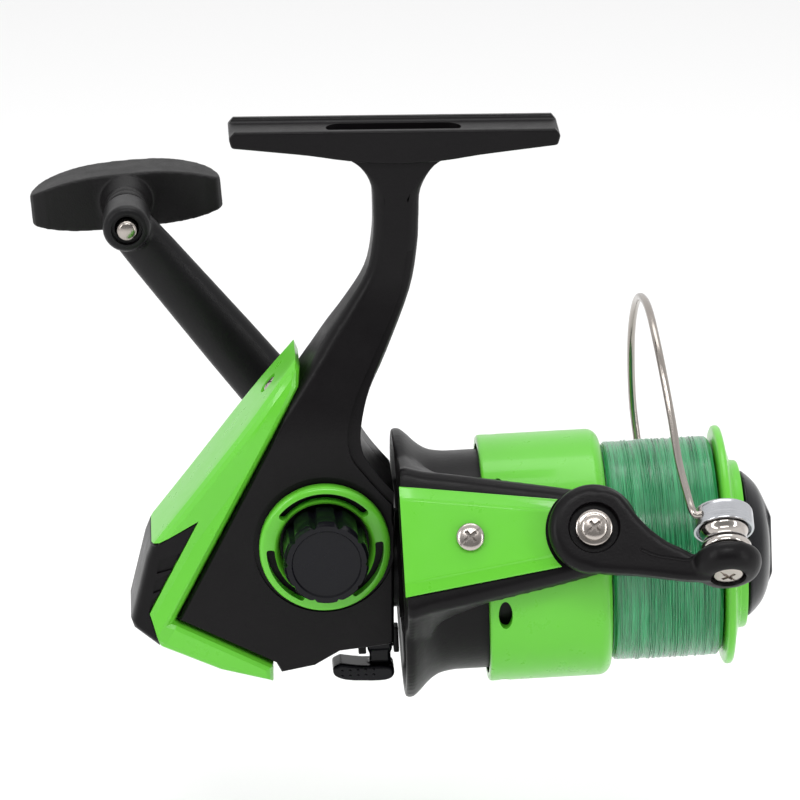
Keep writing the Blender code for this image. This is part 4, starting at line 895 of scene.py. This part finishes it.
# %% Spindle with a bright riveted end
spindle = turned([(-7.2, 0), (-7.2, 1.6), (-6.9, 2.1), (-6.0, 2.4), (6.9, 2.4), (6.9, 2.0), (26.0, 2.0),
                  (26.0, 0)], 40)
finish("grip_spindle", spindle, CRANK, "drive_train", STEEL, ("knob_spindle",), sharp=50)

# %% [markdown]
# The grip is a T. Seen from above it is a half moon: flat towards the arm and bowed outwards, so that
# two fingers pull against its flat side. Seen from the arm it is a low bar, thicker at the middle, with
# a cap at each end that is parted from the bar by a thin groove. The half moon is extruded and thinned
# towards its ends, the grooves are cut, and the bar is then fused with its ribbed neck.

# %% T-shaped grip
GRIP_MIDDLE = 23.0
GRIP_HALF = 21.7
GRIP_LEAN = math.radians(-5)
GRIP_THICK = 6.4
bow = smooth_line([(-GRIP_HALF, -4.6), (-GRIP_HALF + 0.6, -1.0), (-18.4, 3.0), (-12.0, 5.9), (-5.0, 7.2),
                   (5.0, 7.2), (12.0, 5.9), (18.4, 3.0), (GRIP_HALF - 0.6, -1.0), (GRIP_HALF, -4.6)], 5)
flat_side = [(GRIP_HALF - 0.9, -6.2), (18.0, -6.4), (7.0, -5.2), (-7.0, -5.2)]
bar = prism([(-18.0, -6.4), (-GRIP_HALF + 0.9, -6.2)] + bow + flat_side, -GRIP_THICK, GRIP_THICK)
for level in range(-21, 22, 3):
    bmesh.ops.bisect_plane(bar, geom=bar.verts[:] + bar.edges[:] + bar.faces[:], dist=WELD,
                           plane_co=(level, 0, 0), plane_no=(1, 0, 0))
for vert in bar.verts:
    reach = abs(vert.co.x) / GRIP_HALF
    vert.co.y *= 1.0 - 0.46 * reach ** 3
END_CAP_AT = 17.6
for shift in (-END_CAP_AT, END_CAP_AT):
    groove = block((shift - 0.22, -9, -12), (shift + 0.22, 9, 12))
    core = rounded(block((shift - 1, -3.7, -5.2), (shift + 1, 3.7, 3.4)), 0.8, 2)
    bar = combined(bar, combined(groove, core))
bow_outwards = Matrix(((0, 0, 1, 0), (1, 0, 0, 0), (0, 1, 0, 0), (0, 0, 0, 1)))
bar = placed(bar, Matrix.Translation((GRIP_MIDDLE, 0, 0)) @ bow_outwards)
bmesh.ops.recalc_face_normals(bar, faces=bar.faces)
stem = turned([(7.2, 0), (7.2, 4.6), (7.8, 5.0), (9.4, 5.0), (9.8, 4.5), (10.6, 4.5), (11.0, 4.9),
               (13.0, 4.9), (13.4, 4.5), (14.4, 4.6), (17.0, 5.8), (22.0, 6.0), (22.0, 0)], 48)
bar = placed(bar, Matrix.Rotation(GRIP_LEAN, 4, "X"))
grip = moulded_together(joined(bar, stem), 0.34, 9)
grip = combined(grip, turned([(0, 0), (0, 2.2), (26.4, 2.2), (26.4, 0)], 32))
finish("t_grip", grip, CRANK, "knob", RUBBER, ("knob_grip",), sharp=50)

# %% [markdown]
# ## Rotor
# The rotor is one moulding. A bell flares out at the back, and two arms leave it with round shoulders
# that spread where they meet the flare. The bell is spun. The arms change their section all the way, so
# they are skinned from sections along the shaft, fused with the bell, and then hollowed for the bail's
# spring and bored for its pivots. The same skin, with a circle for its section, makes a tube.

# %% Skins from sections
ACROSS = Matrix.Translation((PIVOT_U, 0, 0)) @ Matrix.Rotation(math.pi / 2, 4, "Z")
ARM_OUTER = 31.3
ARM_INNER = 27.4
HEAD_RADIUS = 8.8


def skin(rings):
    """Joins closed rings of points, one after another, and fills both ends."""
    bm = bmesh.new()
    loops = []
    for ring in rings:
        verts = [bm.verts.new(point) for point in ring]
        loops.append([bm.edges.new(pair) for pair in zip(verts, verts[1:] + verts[:1])])
    for first, second in zip(loops, loops[1:]):
        bmesh.ops.bridge_loops(bm, edges=first + second)
    for loop in (loops[0], loops[-1]):
        bmesh.ops.edgeloop_fill(bm, edges=loop)
    bmesh.ops.recalc_face_normals(bm, faces=bm.faces)
    return bm


def tube_along(points, radius, sides=16):
    """A round tube along a line of points, turned as little as possible from one to the next."""
    points = [Vector(point) for point in points]
    ahead = points[1:] + [2 * points[-1] - points[-2]]
    across = (points[1] - points[0]).orthogonal().normalized()
    rings = []
    for here, there in zip(points, ahead):
        along = (there - here).normalized()
        across = (across - along * across.dot(along)).normalized()
        up = along.cross(across)
        rings.append([here + radius * (across * math.cos(turn) + up * math.sin(turn))
                      for turn in (FULL_TURN * side / sides for side in range(sides))])
    return skin(rings)


def arm_ring(along, half, root_half, root, side):
    """One section of a rotor arm: a flat outer face, round shoulders, and a root of its own width."""
    corner = min(2.6, 0.7 * half)
    shoulder = arc(half - corner, ARM_OUTER - corner, corner, 0, 90, 5)
    right = [(root_half, root)] + shoulder
    left = [(-z, y) for z, y in right[::-1]]
    return [(along, side * y, z) for z, y in right + left]

# %% Rotor
ARM_SECTIONS = [(1.4, 16.2, 22.0, 17.0), (2.6, 16.6, 22.6, 16.0), (4.4, 16.0, 21.0, 16.0),
                (6.5, 15.4, 18.6, 18.0), (9.0, 15.0, 16.2, 20.0), (12.0, 14.5, 15.0, 21.0),
                (16.0, 13.8, 14.2, 25.0), (19.0, 13.2, 13.6, ARM_INNER), (25.0, 12.1, 12.5, ARM_INNER),
                (35.0, 10.3, 10.6, ARM_INNER), (42.0, 8.8, 9.0, ARM_INNER)]
for turn in (75, 60, 45, 30, 18, 8):
    reach = PIVOT_U + HEAD_RADIUS * math.cos(math.radians(turn))
    half = HEAD_RADIUS * math.sin(math.radians(turn))
    ARM_SECTIONS.append((reach, half, half, ARM_INNER))
flare = smooth_line([(1.3, 29.3), (2.6, 29.2), (4.2, 27.9), (6.2, 25.9), (8.6, 24.4), (12.0, 23.8)], 4)
neck_end = [(32.4, 23.8), (33.0, 23.2), (33.0, 22.0), (14.4, 22.0), (14.4, 9.0), (12.0, 3.8)]
inside = [(11.2, 3.8), (11.2, 22.0), (7.0, 22.8), (4.0, 24.8), (2.2, 26.6)]
bell = turned([(0.9, 27.2), (0.9, 29.0)] + flare + neck_end + inside, 96)
arms = [skin([arm_ring(*section, side) for section in ARM_SECTIONS]) for side in (-1, 1)]
rotor = moulded_together(joined(bell, *arms), 0.52, 5)
hollows = []
for side in (-1, 1):
    low, high = sorted((side * (ARM_OUTER - 2.7), side * (ARM_OUTER + 2)))
    hollows.append(prism([(4.4, -6.8), (30, -4.8), (30, 4.8), (4.4, 6.8)], low, high))
hollows.append(placed(turned([(-42, 0), (-42, 1.9), (-24.5, 1.9), (-24.5, 0)], 32), ACROSS))
hollows.append(placed(turned([(24.5, 0), (24.5, 1.9), (42, 1.9), (42, 0)], 32), ACROSS))
hollows.append(turned([(-4, 0), (-4, 21.6), (6.6, 21.6), (11.3, 21.2), (11.3, 0)], 64))
hollows.append(turned([(14.2, 8.0), (14.2, 21.6), (36, 21.6), (36, 8.0)], 64))
rotor = combined(rotor, joined(*hollows))
finish("rotor_moulding", rotor, ROTOR, "rotor_body", BLACK, ("rotor",), sharp=45)

# %% [markdown]
# The painted covers lie on the arms. Each narrows towards the pivot, ends in a hollow curve round the
# pivot's head, and rolls inwards at the back, where it catches a vertical band of light. An extrusion
# would be flat, so each cover is skinned from sections too.

# %% Arm covers
COVER_STATIONS = (1.2, 1.5, 2.0, 2.7, 3.5, 4.4, 5.4, 6.6, 8.4, 20.0, 38.0)


def cover_ring(along, side):
    """One section of a cover: a flat middle between two shallow slopes, lower where it rolls in."""
    half = 11.9 - 0.139 * (along - 1.2)
    roll = 0.95 * (max(0.0, 8.4 - along) / 7.2) ** 2
    line = [(-half, 31.6), (-half, 32.1), (-half + 0.3, 32.35), (-half + 2.3, 32.62), (-half + 2.7, 32.85),
            (-half + 3.1, 33.0)]
    line += [(-z, y) for z, y in line[::-1]]
    return [(along, side * max(31.6, y - roll * (y - 31.6) / 1.4), z) for z, y in line]


for side, name in ((-1, "near"), (1, "far")):
    cover = skin([cover_ring(along, side) for along in COVER_STATIONS])
    pivot_gap = placed(turned([(-40, 0), (-40, 10.1), (40, 10.1), (40, 0)], 96), ACROSS)
    screw_hole = placed(turned([(-40, 0), (-40, 1.4), (40, 1.4), (40, 0)], 32),
                        Matrix.Translation((COVER_SCREW_U, 0, 0)) @ Matrix.Rotation(math.pi / 2, 4, "Z"))
    cover = combined(cover, joined(pivot_gap, screw_hole))
    finish(f"{name}_painted_cover", cover, ROTOR, "rotor_body", GREEN,
           (f"{name}_arm_cover",), sharp=35)

# %% [markdown]
# ## Bail
# The bail arm is a round head on the pivot, an S-shaped neck, and a drum-shaped nose that carries the
# roller. The head and nose are spun and the neck is extruded, slanted outwards; the three are fused and
# softened, because the real arm is one moulding. A sunk seat in the head shows a bright washer and the
# screw, and a thin crease runs along the neck.

# %% Bail arm
BAIL_FACE = -37.6
NECK_SLANT = -0.14
NOSE_AT = ROTOR.inverted() @ ROLLER
HEAD = [(BAIL_FACE, 0), (BAIL_FACE, 7.6), (-37.2, 8.7), (-36.4, 9.4), (-35.4, 9.6), (-34.2, 9.6), (-33.5, 9.2),
        (-33.4, 8.6), (-33.4, 0)]
NECK = smooth_line([(-2, 8.4), (2.2, 8.5), (5.3, 7.3), (7.3, 5.0), (9.0, 2.4), (11.8, -1.0), (15.3, -4.0),
                    (18.0, -5.5), (22.0, -7.6), (32.0, -9.0), (31.4, -12.4), (27, -13.4), (18.6, -12.6),
                    (13.4, -11.6), (8.0, -10.6), (3.2, -10.0), (-3, -9.0)], 3)
NOSE = [(-15.2, 0), (-15.2, 4.4), (-14.9, 5.5), (-14.2, 6.4), (-13.2, 7.0), (-12.0, 7.35), (-10.8, 7.3),
        (-10.0, 6.9), (-9.65, 6.2), (-9.6, 5.6), (-9.6, 0)]
head = placed(turned(HEAD, 72), ACROSS)
neck = rounded(prism(NECK, 0, 4.2), 1.3, 3, angle=40,
               keep=lambda edge: max(vert.co.y for vert in edge.verts) < 0.1)
neck.transform(Matrix(((1, 0, 0, PIVOT_U), (NECK_SLANT, 1, 0, BAIL_FACE), (0, 0, 1, 0), (0, 0, 0, 1))))
nose = placed(turned(NOSE, 64), NOSE_AT)
arm = moulded_together(joined(head, neck, nose), 0.36, 9)
crease = smooth_line([(9.4, -5.4), (12.4, -6.9), (16.0, -7.8), (18.8, -8.4), (20.2, -8.0), (21.0, -6.6)], 4)
crease = tube_along([(x + PIVOT_U, BAIL_FACE - 0.15 + NECK_SLANT * x, z) for x, z in crease], 0.42, 10)
seat = turned([(-45, 0), (-45, 6.0), (-37.5, 5.5), (-36.9, 5.2), (-36.0, 5.2), (-36.0, 2.2), (-20, 2.2),
               (-20, 0)], 64)
nose_bore = turned([(-20, 0), (-20, 4.0), (-15.0, 3.8), (-14.6, 3.6), (-13.9, 3.6), (-13.9, 1.7), (0, 1.7),
                    (0, 0)], 48)
arm = combined(arm, joined(placed(seat, ACROSS), placed(nose_bore, NOSE_AT), crease))
finish("bail_arm_moulding", arm, ROTOR, "bail", BLACK, ("bail_arm",), sharp=45)

# %% [markdown]
# The roller is a nickel drum with a groove for the line. It turns on a black bush, between the nose
# and a polished cup that holds the end of the wire. All of them are spun about the roller's own axis.

# %% Washer, roller and holder
ring = turned([(-37.8, 2.3), (-37.8, 3.4), (-37.6, 3.8), (-36.9, 3.9), (-36.3, 3.9), (-36.3, 2.3)], 64)
finish("bail_pivot_washer", placed(ring, ACROSS), ROTOR, "bail", SCREW_STEEL, ("bail_arm_washer",))
race = [(-9.1, 3.1), (-9.1, 4.9), (-8.95, 5.3), (-8.6, 5.5), (-7.9, 5.5), (-7.5, 5.3), (-7.0, 4.9),
        (-6.4, 4.7), (-5.6, 4.7), (-5.0, 4.9), (-4.5, 5.2), (-4.0, 5.3), (-3.2, 5.3), (-3.0, 5.1), (-3.0, 3.1)]
finish("nickel_roller", turned(race, 72), ROLLER, "roller", CHROME, ("line_roller",), sharp=50)
bush = turned([(-9.3, 1.6), (-9.3, 2.9), (-2.7, 2.9), (-2.7, 1.6)], 32)
finish("roller_bush_moulding", bush, ROLLER, "bail", BLACK, ("roller_bush",))
cup = turned([(-4.0, 5.9), (-3.8, 5.8), (-2.4, 5.8), (-2.4, 1.6), (0.3, 1.6), (0.3, 4.6), (0.5, 5.2),
              (0.8, 5.5), (0.75, 5.9), (0.5, 6.25), (0.1, 6.45), (-0.4, 6.5), (-3.7, 6.5), (-3.95, 6.4),
              (-4.0, 6.2)], 96)
finish("polished_wire_holder", cup, ROLLER, "bail", ALLOY, ("wire_holder",), sharp=50)
outwards = Matrix.Translation((-14.2, 0, 0)) @ Matrix.Rotation(math.pi, 4, "Z")
finish("nose_screw", placed(screw_head(3.2, 0.8, 1.3, 14.4), outwards), ROLLER, "bail", SCREW_STEEL,
       ("roller_screw",), sharp=35)

# %% [markdown]
# The bail wire leaves the cup, bows over the spool and comes down to the far holder. A curve object
# with a bevel could make it, but the tube helper gives the same round section and keeps its few route
# points in the rotor's own millimetres.

# %% Bail wire
ROUTE = [(64.6, -39.4, 1.2), (63.2, -39.1, 1.3), (62.5, -38.7, 2.6), (62.0, -37.4, 5.4), (60.8, -34.4, 13.5),
         (60.0, -31.8, 24.0), (58.4, -28.6, 39.5), (57.6, -17.0, 50.8), (56.8, 0.0, 55.1), (56.2, 17.0, 50.0),
         (56.3, 28.4, 37.5), (57.2, 31.6, 24.0), (56.9, 34.6, 12.4)]
WIRE_RADIUS = 0.85
wire = tube_along(smooth_line(ROUTE, 9), WIRE_RADIUS, 20)
finish("bail_bow", wire, ROTOR, "bail", STEEL, ("bail_wire",), sharp=70)

# %% [markdown]
# On the far side a smaller holder takes the wire's other end: a disc on the pivot and a short arm.

# %% Far holder
FAR_DISC = [(33.4, 0), (33.4, 8.0), (33.7, 8.2), (35.4, 8.2), (36.4, 7.6), (36.8, 6.6), (36.8, 0)]
REACH = smooth_line([(0, -7.2), (6.0, -5.4), (11.6, -0.6), (15.0, 4.6), (16.8, 9.6), (16.0, 12.2),
                     (12.6, 12.0), (8.4, 9.6), (4.0, 7.8), (-2, 7.6)], 4)
reach = rounded(prism(REACH, 33.4, 36.2), 0.9, 3, angle=40,
                keep=lambda edge: min(vert.co.y for vert in edge.verts) > 36)
reach = placed(reach, Matrix.Translation((PIVOT_U, 0, 0)))
far_arm = moulded_together(joined(placed(turned(FAR_DISC, 64), ACROSS), reach), 0.36, 5)
far_seat = turned([(20, 0), (20, 2.2), (34.8, 2.2), (34.8, 4.4), (45, 4.4), (45, 0)], 48)
far_arm = combined(far_arm, placed(far_seat, ACROSS))
finish("far_holder_moulding", far_arm, ROTOR, "bail", BLACK, ("bail_holder",), sharp=45)

# %% [markdown]
# ## Spool and line
# The spool is turned from one section: a deep skirt over the rotor's neck, the line's arbor, a thin
# front rim and a ring round the drag well. Six oval holes go through the skirt near its back edge, and
# all are cut at once.

# %% Spool
SKIRT = [(19.2, 25.0), (19.2, 26.3), (19.5, 26.7), (20.0, 26.8), (42.6, 26.8)]
SHOULDER = arc(43.0, 24.0, 2.8, 90, 10, 10)
ARBOR = [(45.8, 17.0), (69.7, 17.0)]
RIM = [(70.3, 23.8), (70.4, 25.2), (70.7, 25.8), (71.2, 26.0), (71.8, 25.95), (72.2, 25.6), (72.35, 25.0),
       (72.8, 22.4), (73.3, 20.6), (73.6, 19.0), (73.8, 18.5), (74.2, 18.3), (75.2, 18.2), (75.6, 17.9),
       (75.6, 15.2)]
WELL = [(61.0, 14.6), (61.0, 3.0), (47.4, 3.0), (47.4, 12.0), (43.8, 14.0), (43.8, 23.0), (42.8, 24.6),
        (41.6, 25.0)]
HOLES = 6
FIRST_HOLE = 36
spool = turned(SKIRT + SHOULDER + ARBOR + RIM + WELL, 128)
ovals = []
for index in range(HOLES):
    oval = prism(arc(22.6, 0, 1.5, 0, 360, 24)[:-1], 20, 30)
    bmesh.ops.scale(oval, verts=oval.verts, vec=(1, 1, 2.2))
    ovals.append(placed(oval, Matrix.Rotation(math.radians(360 / HOLES * index + FIRST_HOLE), 4, "X")))
spool = combined(spool, joined(*ovals))
finish("painted_spool", spool, ROTOR, "spool_body", GREEN, ("spool",), sharp=50)

# %% [markdown]
# The line is wound in turns that almost touch. Each turn is a ridge; the ridges wander a little round
# the spool and their height varies, so the pack's outline is slightly ragged. Hundreds of separate
# rings would cost far more faces and hide most of them, so the pack is one closed grid whose radius
# follows the ridges. A few turns cross the others at a small angle, as they do when the spool rises and
# falls under the bail.

# %% Wound line
PACK_START, PACK_END = 46.1, 69.7
PACK_RADIUS = 23.62
PACK_INSIDE = 17.3
TURN_WIDTH = 0.34
STATIONS, AROUND = 440, 108
CROSSINGS = 26


def pack_radius(along, angle):
    around = Vector((3.1 * math.cos(angle), 3.1 * math.sin(angle), 0))
    wander = 0.30 * noise.noise(around + Vector((0, 0, along * 0.35)))
    place = (along + wander) / TURN_WIDTH
    ridge = abs(math.sin(math.pi * place))
    height = 0.13 + 0.10 * noise.noise(around * 0.7 + Vector((0, 0, 7.3 * math.floor(place))))
    swell = 0.16 * noise.noise(around * 0.4 + Vector((4.0, 0, along * 0.22)))
    edge = 1.0 - ease(min(along - PACK_START, PACK_END - along), 0.0, 0.9)
    return PACK_RADIUS + height * ridge + swell - 0.8 * edge


wound = bmesh.new()
rows = []
for station in range(STATIONS + 1):
    along = PACK_START + (PACK_END - PACK_START) * station / STATIONS
    row = []
    for step in range(AROUND):
        angle = FULL_TURN * step / AROUND
        radius = pack_radius(along, angle)
        row.append((along, radius * math.cos(angle), radius * math.sin(angle)))
    rows.append(row)
for along, order in ((PACK_START, 0), (PACK_END, len(rows) + 1)):
    turns = [FULL_TURN * step / AROUND for step in range(AROUND)]
    rows.insert(order, [(along, PACK_INSIDE * math.cos(turn), PACK_INSIDE * math.sin(turn)) for turn in turns])
grid = [[wound.verts.new(point) for point in row] for row in rows]
for first, second in zip(grid, grid[1:] + grid[:1]):
    for step in range(AROUND):
        after = (step + 1) % AROUND
        wound.faces.new((first[step], first[after], second[after], second[step]))
crossing = []
for index in range(CROSSINGS):
    shift = 48.4 + 19.0 * (0.5 + 0.5 * noise.noise(Vector((index * 3.7, 0.4, 0))) * 1.6)
    shift = min(67.8, max(48.2, shift))
    slope = 1.3 * noise.noise(Vector((index * 2.3, 9.1, 0)))
    phase = index * 2.399
    loop = []
    for step in range(72):
        angle = FULL_TURN * step / 72
        lift = 23.80 + 0.14 * noise.noise(Vector((3 * math.cos(angle), 3 * math.sin(angle), index * 1.7)))
        loop.append((shift + slope * math.sin(angle + phase), lift * math.cos(angle), lift * math.sin(angle)))
    loop.append(loop[0])
    crossing.append(tube_along(loop, 0.15, 6))
finish("wound_nylon_line", joined(wound, *crossing), SHAFT, "spool_body", NYLON, ("line_winding",),
       sharp=80)

# %% [markdown]
# ## Drag knob and anti-reverse lever
# The drag knob is a low black dome with a raised bar for the fingers: the dome is spun, the bar is
# extruded, and the two are fused with a small fillet. The anti-reverse lever hangs from its ears behind
# the rotor, a small paddle with moulded bumps for the fingertip.

# %% Drag knob
dome = smooth_line([(76.4, 15.9), (78.0, 14.5), (79.6, 12.6), (80.8, 10.0), (81.4, 7.4), (81.7, 4.0),
                    (81.8, 0.0)], 4)
knob = turned([(73.0, 13.0), (73.0, 13.8), (76.0, 13.8), (76.0, 15.5)] + dome + [(77.4, 0), (77.4, 12.4)], 96)
bar_side = [(78.2, -13.2), (80.4, -11.0), (82.3, -6.4), (82.3, 6.4), (80.4, 11.0), (78.2, 13.2)]
bar = rounded(prism(bar_side, -2.8, 2.8), 0.7, 3)
knob = moulded_together(joined(knob, bar), 0.34, 4)
finish("front_drag_knob", knob, SHAFT, "drag", GLOSS, ("drag_knob",), sharp=45)

# %% Anti-reverse lever
LEVER = SHAFT @ Matrix.Translation((0, 0, LEVER_AXIS))
barrel = turned([(-6.6, 0), (-6.6, 1.6), (-6.3, 1.9), (-1.5, 1.9), (-1.2, 1.6), (-1.2, 0)], 32)
stem = rounded(block((-6.2, -1.4, -6.4), (-1.6, 1.4, -0.4)), 0.5, 2)
PADDLE = smooth_line([(-14.4, -4.0), (-14.2, -5.8), (-12.0, -7.0), (-8.0, -7.5), (-3.0, -7.6), (-1.2, -6.6),
                      (-1.2, -4.8), (-3.0, -4.2), (-8.0, -4.0), (-12.6, -3.2)], 3)
paddle = rounded(prism(PADDLE, -3.6, 3.6), 0.9, 3, angle=50)
lever = moulded_together(joined(barrel, stem, paddle), 0.28, 4)
bumps = []
for row in range(2):
    for place in range(5):
        bump = bmesh.new()
        bmesh.ops.create_uvsphere(bump, u_segments=12, v_segments=8, radius=0.42)
        bumps.append(placed(bump, Matrix.Translation((-12.4 + 1.7 * place, -3.38, -4.9 - 1.2 * row))))
lever = combined(lever, turned([(-8, 0), (-8, 1.2), (0, 1.2), (0, 0)], 32))
finish("lever_moulding", joined(lever, *bumps), LEVER, "anti_reverse", GLOSS,
       ("anti_reverse_lever",), sharp=45)

# %% [markdown]
# ## Studio
# The reel hangs over a white floor. A strip in front and above lights the faces, a strip on each side
# draws the long highlights, and a soft box above fills the tops. The room is bright ahead and dim
# behind the camera: an even room would turn the metal flat and the blacks grey. The camera is a long
# lens from a little above, so that the reel shows almost no perspective.

# %% Floor and light
def light(name, place, aim, size, power):
    data = bpy.data.lights.new(name, "AREA")
    data.shape = "RECTANGLE"
    data.size, data.size_y = size
    data.energy = power
    made = bpy.data.objects.new(name, data)
    bpy.context.scene.collection.objects.link(made)
    made.location = place
    made.rotation_euler = (Vector(aim) - Vector(place)).to_track_quat("-Z", "Y").to_euler()
    return made


MIDDLE = (0.0, 0.0, -0.06)
light("front_strip", (0.02, -0.62, 0.62), MIDDLE, (0.60, 0.12), 2.6)
light("left_strip", (-0.62, -0.50, 0.28), MIDDLE, (0.10, 0.60), 1.8)
light("top_softbox", (0.0, 0.20, 0.75), MIDDLE, (0.8, 0.5), 3.0)
light("right_strip", (0.65, -0.45, 0.10), MIDDLE, (0.10, 0.5), 1.0)

world = bpy.data.worlds.new("bright_room")
world.use_nodes = True
nodes, links = world.node_tree.nodes, world.node_tree.links
sky = nodes["Background"]
sky.label = "Walls and ceiling"
direction = nodes.new("ShaderNodeTexCoord")
direction.label = "Direction into the room"
split = nodes.new("ShaderNodeSeparateXYZ")
split.label = "Towards or away from the camera"
room = nodes.new("ShaderNodeMapRange")
room.label = "Dim behind the camera"
room.inputs["From Min"].default_value = -0.85
room.inputs["From Max"].default_value = -0.05
room.inputs["To Min"].default_value = 0.30
room.inputs["To Max"].default_value = 0.95
links.new(direction.outputs["Generated"], split.inputs["Vector"])
links.new(split.outputs["Y"], room.inputs["Value"])
links.new(room.outputs["Result"], sky.inputs["Strength"])
sky.inputs["Color"].default_value = (1.0, 1.0, 1.0, 1.0)
for column, item in enumerate((direction, split, room, sky, nodes["World Output"])):
    item.location = (column * 220 - 600, 200)
bpy.context.scene.world = world
bpy.context.scene.view_settings.view_transform = "Standard"

FLOOR_GAP = 0.045
floor_bm = bmesh.new()
bmesh.ops.create_grid(floor_bm, x_segments=1, y_segments=1, size=6.0)
bmesh.ops.translate(floor_bm, verts=floor_bm.verts, vec=(0, 0, CAD_BOX[0].z - FLOOR_GAP))
floor_mesh = bpy.data.meshes.new("studio_floor")
floor_bm.to_mesh(floor_mesh)
floor_bm.free()
floor = bpy.data.objects.new("studio_floor", floor_mesh)
bpy.context.scene.collection.objects.link(floor)
paper = bpy.data.materials.new("white_paper")
paper.use_nodes = True
paper_shader = paper.node_tree.nodes["Principled BSDF"]
paper_shader.inputs["Base Color"].default_value = (0.93, 0.93, 0.93, 1.0)
paper_shader.inputs["Roughness"].default_value = 0.9
floor_mesh.materials.append(paper)
floor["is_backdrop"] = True

# %% Camera
camera_data = bpy.data.cameras.new("camera")
camera_data.lens = 271.4
camera_data.sensor_width = 36.0
camera_data.clip_end = 20.0
camera = bpy.data.objects.new("camera", camera_data)
bpy.context.scene.collection.objects.link(camera)
ELEVATION, SIDE = math.radians(17.6), math.radians(2.7)
level = math.cos(ELEVATION)
aim = Vector((math.sin(SIDE) * level, math.cos(SIDE) * level, -math.sin(ELEVATION)))
camera.location = (-0.05698, -1.23777, 0.33221)
camera.rotation_euler = aim.to_track_quat("-Z", "Y").to_euler()
bpy.context.scene.camera = camera

# %% Sizes and finish
new_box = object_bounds()
past = [max(0, CAD_BOX[0][i] - new_box[0][i], new_box[1][i] - CAD_BOX[1][i]) for i in range(3)]
print("outside the packed box by", [round(distance / MM, 2) for distance in past], "mm")
